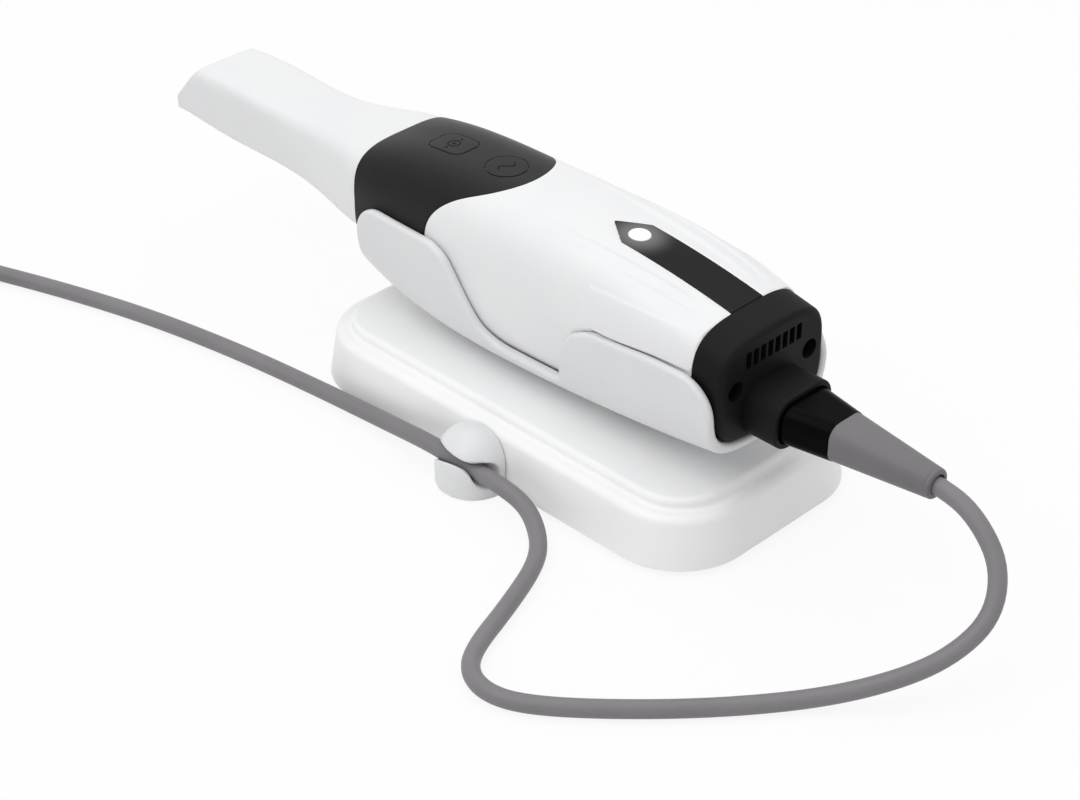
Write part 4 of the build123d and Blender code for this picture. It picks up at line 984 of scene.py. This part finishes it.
def carved(name, body, cutters, grid, rounds):
    """A body less its cutters, rebuilt on a grid of that size and smoothed a number of rounds."""
    piece = mesh_object(name, body)
    tools = [mesh_object(name + "_cutter", cutter) for cutter in cutters]
    for tool in tools:
        cut = piece.modifiers.new("cut", "BOOLEAN")
        cut.operation = "DIFFERENCE"
        cut.solver = "EXACT"
        cut.object = tool
    rebuilt = piece.modifiers.new("rebuilt", "REMESH")
    rebuilt.mode = "VOXEL"
    rebuilt.voxel_size = grid * MM
    worn = piece.modifiers.new("worn", "SMOOTH")
    worn.iterations = rounds
    settle(piece)
    for tool in tools:
        bpy.data.objects.remove(tool)
    return piece


print("soft-edged pieces are cut by", carved.__name__)

# %% [markdown]
# The knob itself is a short cylinder with a half ball on it. A ball and a cylinder could be joined, but
# turning one outline about an upright axis makes both at once, as on a lathe.

# %% Knob of the clip
CLIP_X = -0.5
CLIP_AXIS_Y = -40.0
CLIP_RADIUS = 10.5
CLIP_WALL = 7.0
CLIP_FOOT = 0.5
DOME_STEP = 3
WELD = 1e-4


def turned(profile, centre, steps=96):
    """A body of revolution about an upright axis, from (radius, height) points that start and end on it."""
    shape = bmesh.new()
    points = [shape.verts.new((centre[0] + radius, centre[1], height)) for radius, height in profile]
    edges = [shape.edges.new(pair) for pair in zip(points, points[1:])]
    axis = Vector((0, 0, 1))
    middle = Vector((centre[0], centre[1], 0))
    bmesh.ops.spin(
        shape, geom=points + edges, cent=middle, axis=axis, dvec=(0, 0, 0), angle=2 * pi, steps=steps
    )
    bmesh.ops.remove_doubles(shape, verts=shape.verts, dist=WELD)
    return shape


angles = [radians(degrees) for degrees in range(0, 90, DOME_STEP)]
dome = [(CLIP_RADIUS * cos(angle), CLIP_WALL + CLIP_RADIUS * sin(angle)) for angle in angles]
knob_outline = [(0, CLIP_FOOT), (CLIP_RADIUS, CLIP_FOOT), *dome, (0, CLIP_WALL + CLIP_RADIUS)]
knob = turned(knob_outline, (CLIP_X, CLIP_AXIS_Y))
print("knob:", len(knob.verts), "points before it is cut")

# %% [markdown]
# The lead is pressed into the clip through a slot. On the real clip the slot is narrow in the middle, to
# hold the lead, and opens towards both ends so that the lead isn't bent over an edge. A plain box would
# cut a straight slot, so the cutter is drawn as an outline whose width changes, and made deep.

# %% Slot of the clip
SLOT_DEPTH = 20.0
SLOT_REACH = 15.0
SLOT_NARROW = 1.05
SLOT_LEFT_FLARE = 1.9
SLOT_LEFT_SPAN = (-4.0, 11.0)
SLOT_RIGHT_FLARE = 2.6
SLOT_RIGHT_SPAN = (4.0, 10.0)


def slot_half(x):
    """Half the slot's width: over the lead's own on the left, narrow in the middle, wide on the right."""
    left = SLOT_LEFT_FLARE * ease(-x, *SLOT_LEFT_SPAN)
    right = SLOT_RIGHT_FLARE * ease(x, *SLOT_RIGHT_SPAN)
    return SLOT_NARROW + left + right


def flared_slot(matrix, steps=30):
    """A cutter with that outline, deep along its own Y."""
    shape = bmesh.new()
    places = [SLOT_REACH * (2 * k / steps - 1) for k in range(steps + 1)]
    outline = [(x, slot_half(x)) for x in places] + [(x, -slot_half(x)) for x in reversed(places)]
    low = [shape.verts.new((x, 0, width)) for x, width in outline]
    high = [shape.verts.new((x, SLOT_DEPTH, width)) for x, width in outline]
    shape.faces.new(low)
    shape.faces.new(high)
    for k in range(len(outline)):
        shape.faces.new((low[k - 1], low[k], high[k], high[k - 1]))
    bmesh.ops.transform(shape, matrix=matrix, verts=shape.verts)
    return shape


print("slot is", round(2 * float(slot_half(0.0)), 2), "mm wide in its middle")

# %% [markdown]
# Four kinds of cut shape the knob: the base's leaning wall, which the clip is stuck to, the round channel
# that the lead lies in, the slot, and a funnel at each end of the channel. They could be cut one after
# the other by hand; as a list of cutters they stay editable, and the cuts are all made in one go. The
# funnels have other numbers of sides than the channel, so that no two faces share a plane.

# %% Cut the clip
BASE_WALL_Y = -36.0
BASE_WALL_TOP = 16.6
BASE_WALL_FOOT = 1.8
BASE_WALL_LEAN = 2.4
CLIP_SEAT = 0.25
CUTTER_SPAN = 60.0
CUTTER_DEPTH = 40.0
CHANNEL_RADIUS = 2.8
SLOT_ANGLE = radians(180 - 38)
CLIP_GRID = 0.25
CLIP_WEAR = 16


def block(size, matrix):
    """A block with these side lengths, moved by a matrix."""
    shape = bmesh.new()
    bmesh.ops.create_cube(shape, size=1.0, matrix=matrix @ Matrix.Diagonal((*size, 1.0)))
    return shape


channel_line = Matrix.Translation((CLIP_X, CLIP_Y, CLIP_Z))


def funnel(place, radius_left, radius_right, depth, sides=64):
    """A cone or cylinder along the channel, with its middle at a place left or right of the clip's."""
    shape = bmesh.new()
    matrix = channel_line @ Matrix.Translation((place, 0, 0)) @ Matrix.Rotation(pi / 2, 4, "Y")
    bmesh.ops.create_cone(
        shape, cap_ends=True, segments=sides, depth=depth, matrix=matrix,
        radius1=radius_left, radius2=radius_right,
    )
    return shape


wall_lean = Matrix.Rotation(-atan2(BASE_WALL_LEAN, BASE_WALL_TOP - BASE_WALL_FOOT), 4, "X")
wall_top = Matrix.Translation((CLIP_X, BASE_WALL_Y - CLIP_SEAT, BASE_WALL_TOP))
clip_cutters = [
    block(
        (CUTTER_SPAN, CUTTER_DEPTH, CUTTER_SPAN),
        wall_top @ wall_lean @ Matrix.Translation((0, CUTTER_DEPTH / 2, 0)),
    ),
    funnel(0.0, CHANNEL_RADIUS, CHANNEL_RADIUS, CUTTER_SPAN),
    flared_slot(channel_line @ Matrix.Rotation(SLOT_ANGLE, 4, "X")),
    funnel(place=7.9, radius_left=2.6, radius_right=4.2, depth=5.6, sides=59),
    funnel(place=-8.4, radius_left=3.6, radius_right=2.6, depth=6.0, sides=53),
]
clip = carved("clip", knob, clip_cutters, CLIP_GRID, CLIP_WEAR)
clip.data.materials.append(finishes["white_cradle"])
placed(clip, "scanner", "white_cradle", "cable_clip")
print("clip:", len(clip.data.polygons), "faces")

# %% [markdown]
# Each key carries a simple raised sign that a thumb can feel: a ring with dots on the front key, and a
# wave on the round one. Signs could be painted in the material, but raised lines catch the light as
# moulded ones do. They are thin cords, sunk into the key, and follow its curved top, whose height is read
# from the key by a ray.

# %% Sign lines
SIGN_DIAMETER = 0.54
SIGN_PROUD = 0.10
RAY_START = 200.0
# The signs are a little darker than the keys: painted shade, standing for the shade that lies in a moulded
# sign's grooves.
sign_finish_painted_shade = moulded(
    "dark_sign_painted_shade", rgb(0.003), rgb(0.004),
    rough=0.55, grain=0.2, grain_size=0.2, shine=0.1,
)


def key_top(node_name):
    """A function that gives the height of a node's upper side, in millimetres."""
    tree = surface_tree(node_name)

    def height(x, y):
        hit = tree.ray_cast(Vector((x, y, RAY_START)) * MM, Vector((0, 0, -1)))
        return hit[0].z / MM

    return height


def sign_line(name, flat_points, key, closed=True):
    """A thin raised line along flat points, laid on a key's curved top."""
    height = key_top(key)
    sunk = SIGN_DIAMETER / 2 - SIGN_PROUD
    points = [(x, y, height(x, y) - sunk) for x, y in flat_points]
    piece = smooth_curve(name, points, SIGN_DIAMETER, closed)
    piece.data.materials.append(sign_finish_painted_shade)
    return placed(piece, key, "soft_key")


print("signs stand", SIGN_PROUD, "mm proud of the keys")

# %% [markdown]
# A ring is a closed line round a circle, and a dot is a ring so small that its line fills it. The wave is
# one full swing of a sine across the key. Drawing them from formulas keeps them even, and a change of
# size is one number.

# %% Key signs
SCAN_KEY = (-48.6, 0.0)
MODE_KEY = (-28.0, 0.0)
RING_RADIUS = 1.75
RING_POINTS = 20
DOT_RADIUS = 0.22
DOT_OFFSET = 3.0
MIDDLE_RADIUS = 0.3
DOT_POINTS = 10
WAVE_HALF = 3.0
WAVE_HEIGHT = 1.3
WAVE_STEPS = 24


def circle(centre, radius, count):
    """Flat points round a circle."""
    turns_round = [2 * pi * k / count for k in range(count)]
    return [(centre[0] + radius * cos(turn), centre[1] + radius * sin(turn)) for turn in turns_round]


shares = [2 * step / WAVE_STEPS - 1 for step in range(WAVE_STEPS + 1)]
wave = [(MODE_KEY[0] + WAVE_HEIGHT * sin(pi * share), WAVE_HALF * share) for share in shares]
near_dot = circle((SCAN_KEY[0], -DOT_OFFSET), DOT_RADIUS, DOT_POINTS)
far_dot = circle((SCAN_KEY[0], DOT_OFFSET), DOT_RADIUS, DOT_POINTS)
signs = [
    sign_line("scan_sign_ring", circle(SCAN_KEY, RING_RADIUS, RING_POINTS), "scan_key"),
    sign_line("scan_sign_dot_near", near_dot, "scan_key"),
    sign_line("scan_sign_dot_far", far_dot, "scan_key"),
    sign_line("scan_sign_middle", circle(SCAN_KEY, MIDDLE_RADIUS, DOT_POINTS), "scan_key"),
    sign_line("mode_sign", wave, "mode_key", closed=False),
]
print("key signs:", len(signs))

# %% [markdown]
# Product pictures are often taken on white paper under broad soft light, so that hardly a shadow is left.
# Turning up the lamps until the floor is white would burn out the white plastic too. So the paper is
# white by itself for rays that see it directly, and a small share of lit floor keeps a soft shadow where
# the pieces stand.

# %% Floor
FLOOR_HALF = 4.0
SHADOW_SHARE = 0.12
corners = [(-1, -1), (1, -1), (1, 1), (-1, 1)]
floor_mesh = bpy.data.meshes.new("studio_floor")
floor_mesh.from_pydata([(x * FLOOR_HALF, y * FLOOR_HALF, 0) for x, y in corners], [], [(0, 1, 2, 3)])
floor = bpy.data.objects.new("studio_floor", floor_mesh)
scene.collection.objects.link(floor)


def seen_directly(tone):
    """1 for rays from the camera, a mirror or glass, and 0 for rays that only light the object."""
    outputs = tone.make("ShaderNodeLightPath").socket.node.outputs
    camera_ray, mirror_ray, glass_ray = (
        Tone(tone.tree, outputs[name]) for name in ("Is Camera Ray", "Is Glossy Ray", "Is Transmission Ray")
    )
    direct = camera_ray + mirror_ray + glass_ray
    return direct.sum_of("MINIMUM", direct, 1.0)


floor_finish, floor_tone, floor_shader = new_finish("white_table")
floor_shader.inputs["Base Color"].default_value = rgb(0.88)
floor_shader.inputs["Roughness"].default_value = 0.9
lit_floor = Tone(floor_tone.tree, floor_shader.outputs[0])
paper = floor_tone.make("ShaderNodeEmission", None, {"Color": rgb(1.0), "Strength": 1.0})
paper_share = seen_directly(floor_tone) * (1 - SHADOW_SHARE)
mixed = floor_tone.make("ShaderNodeMixShader", None, {0: paper_share, 1: lit_floor, 2: paper})
feed(mixed, floor_tone.tree.nodes["Material Output"].inputs["Surface"])
floor_mesh.materials.append(floor_finish)
print("floor:", 2 * FLOOR_HALF, "m wide, with", SHADOW_SHARE, "of real shadow")

# %% [markdown]
# A white room lights the object from all sides. A dome of lamps could do that, but the world's background
# is one even sky for free. It is white where it is seen directly and dimmer as a light, so the plastic
# keeps its shape.

# %% Sky
SKY_STRENGTH = 0.60
world = bpy.data.worlds.new("studio_world")
scene.world = world
world.use_nodes = True
background = world.node_tree.nodes["Background"]
background.inputs["Color"].default_value = rgb(1.0)
sky_seen = seen_directly(Tone(world.node_tree))
feed(SKY_STRENGTH + sky_seen * (1 - SKY_STRENGTH), background.inputs["Strength"])
print("sky strength", SKY_STRENGTH)

# %% [markdown]
# Two large panels above give the light a direction: one behind for the tops, one in front for the near
# sides. Spots would leave hard edges in the gloss; a panel as wide as a table leaves soft ones. They stay
# weak, so that a colour looks as it is written.

# %% Lamps
def soft_lamp(name, place, target, side, power):
    """A large square panel that looks at a point."""
    data = bpy.data.lights.new(name, "AREA")
    data.shape = "RECTANGLE"
    data.size = side
    data.size_y = side
    data.energy = power
    lamp = bpy.data.objects.new(name, data)
    lamp.location = place
    lamp.rotation_mode = "QUATERNION"
    lamp.rotation_quaternion = (Vector(target) - Vector(place)).to_track_quat("-Z", "Y")
    scene.collection.objects.link(lamp)
    return lamp


lamps = [
    soft_lamp("top_panel", (-0.1, 0.35, 1.2), target=(0.0, 0.0, 0.04), side=1.2, power=4.6),
    soft_lamp("near_panel", (-0.1, -0.65, 1.05), target=(0.0, 0.0, 0.03), side=0.9, power=5.0),
]
scene.view_settings.view_transform = "Standard"
print("lamps:", [lamp.name for lamp in lamps])

# %% [markdown]
# Last, the view layer is brought up to date, so that every piece's place is worked out. It could be
# measured later by eye, but a file can be checked by a program, and a piece that strayed out of place
# would show at once.

# %% Finish
bpy.context.view_layer.update()
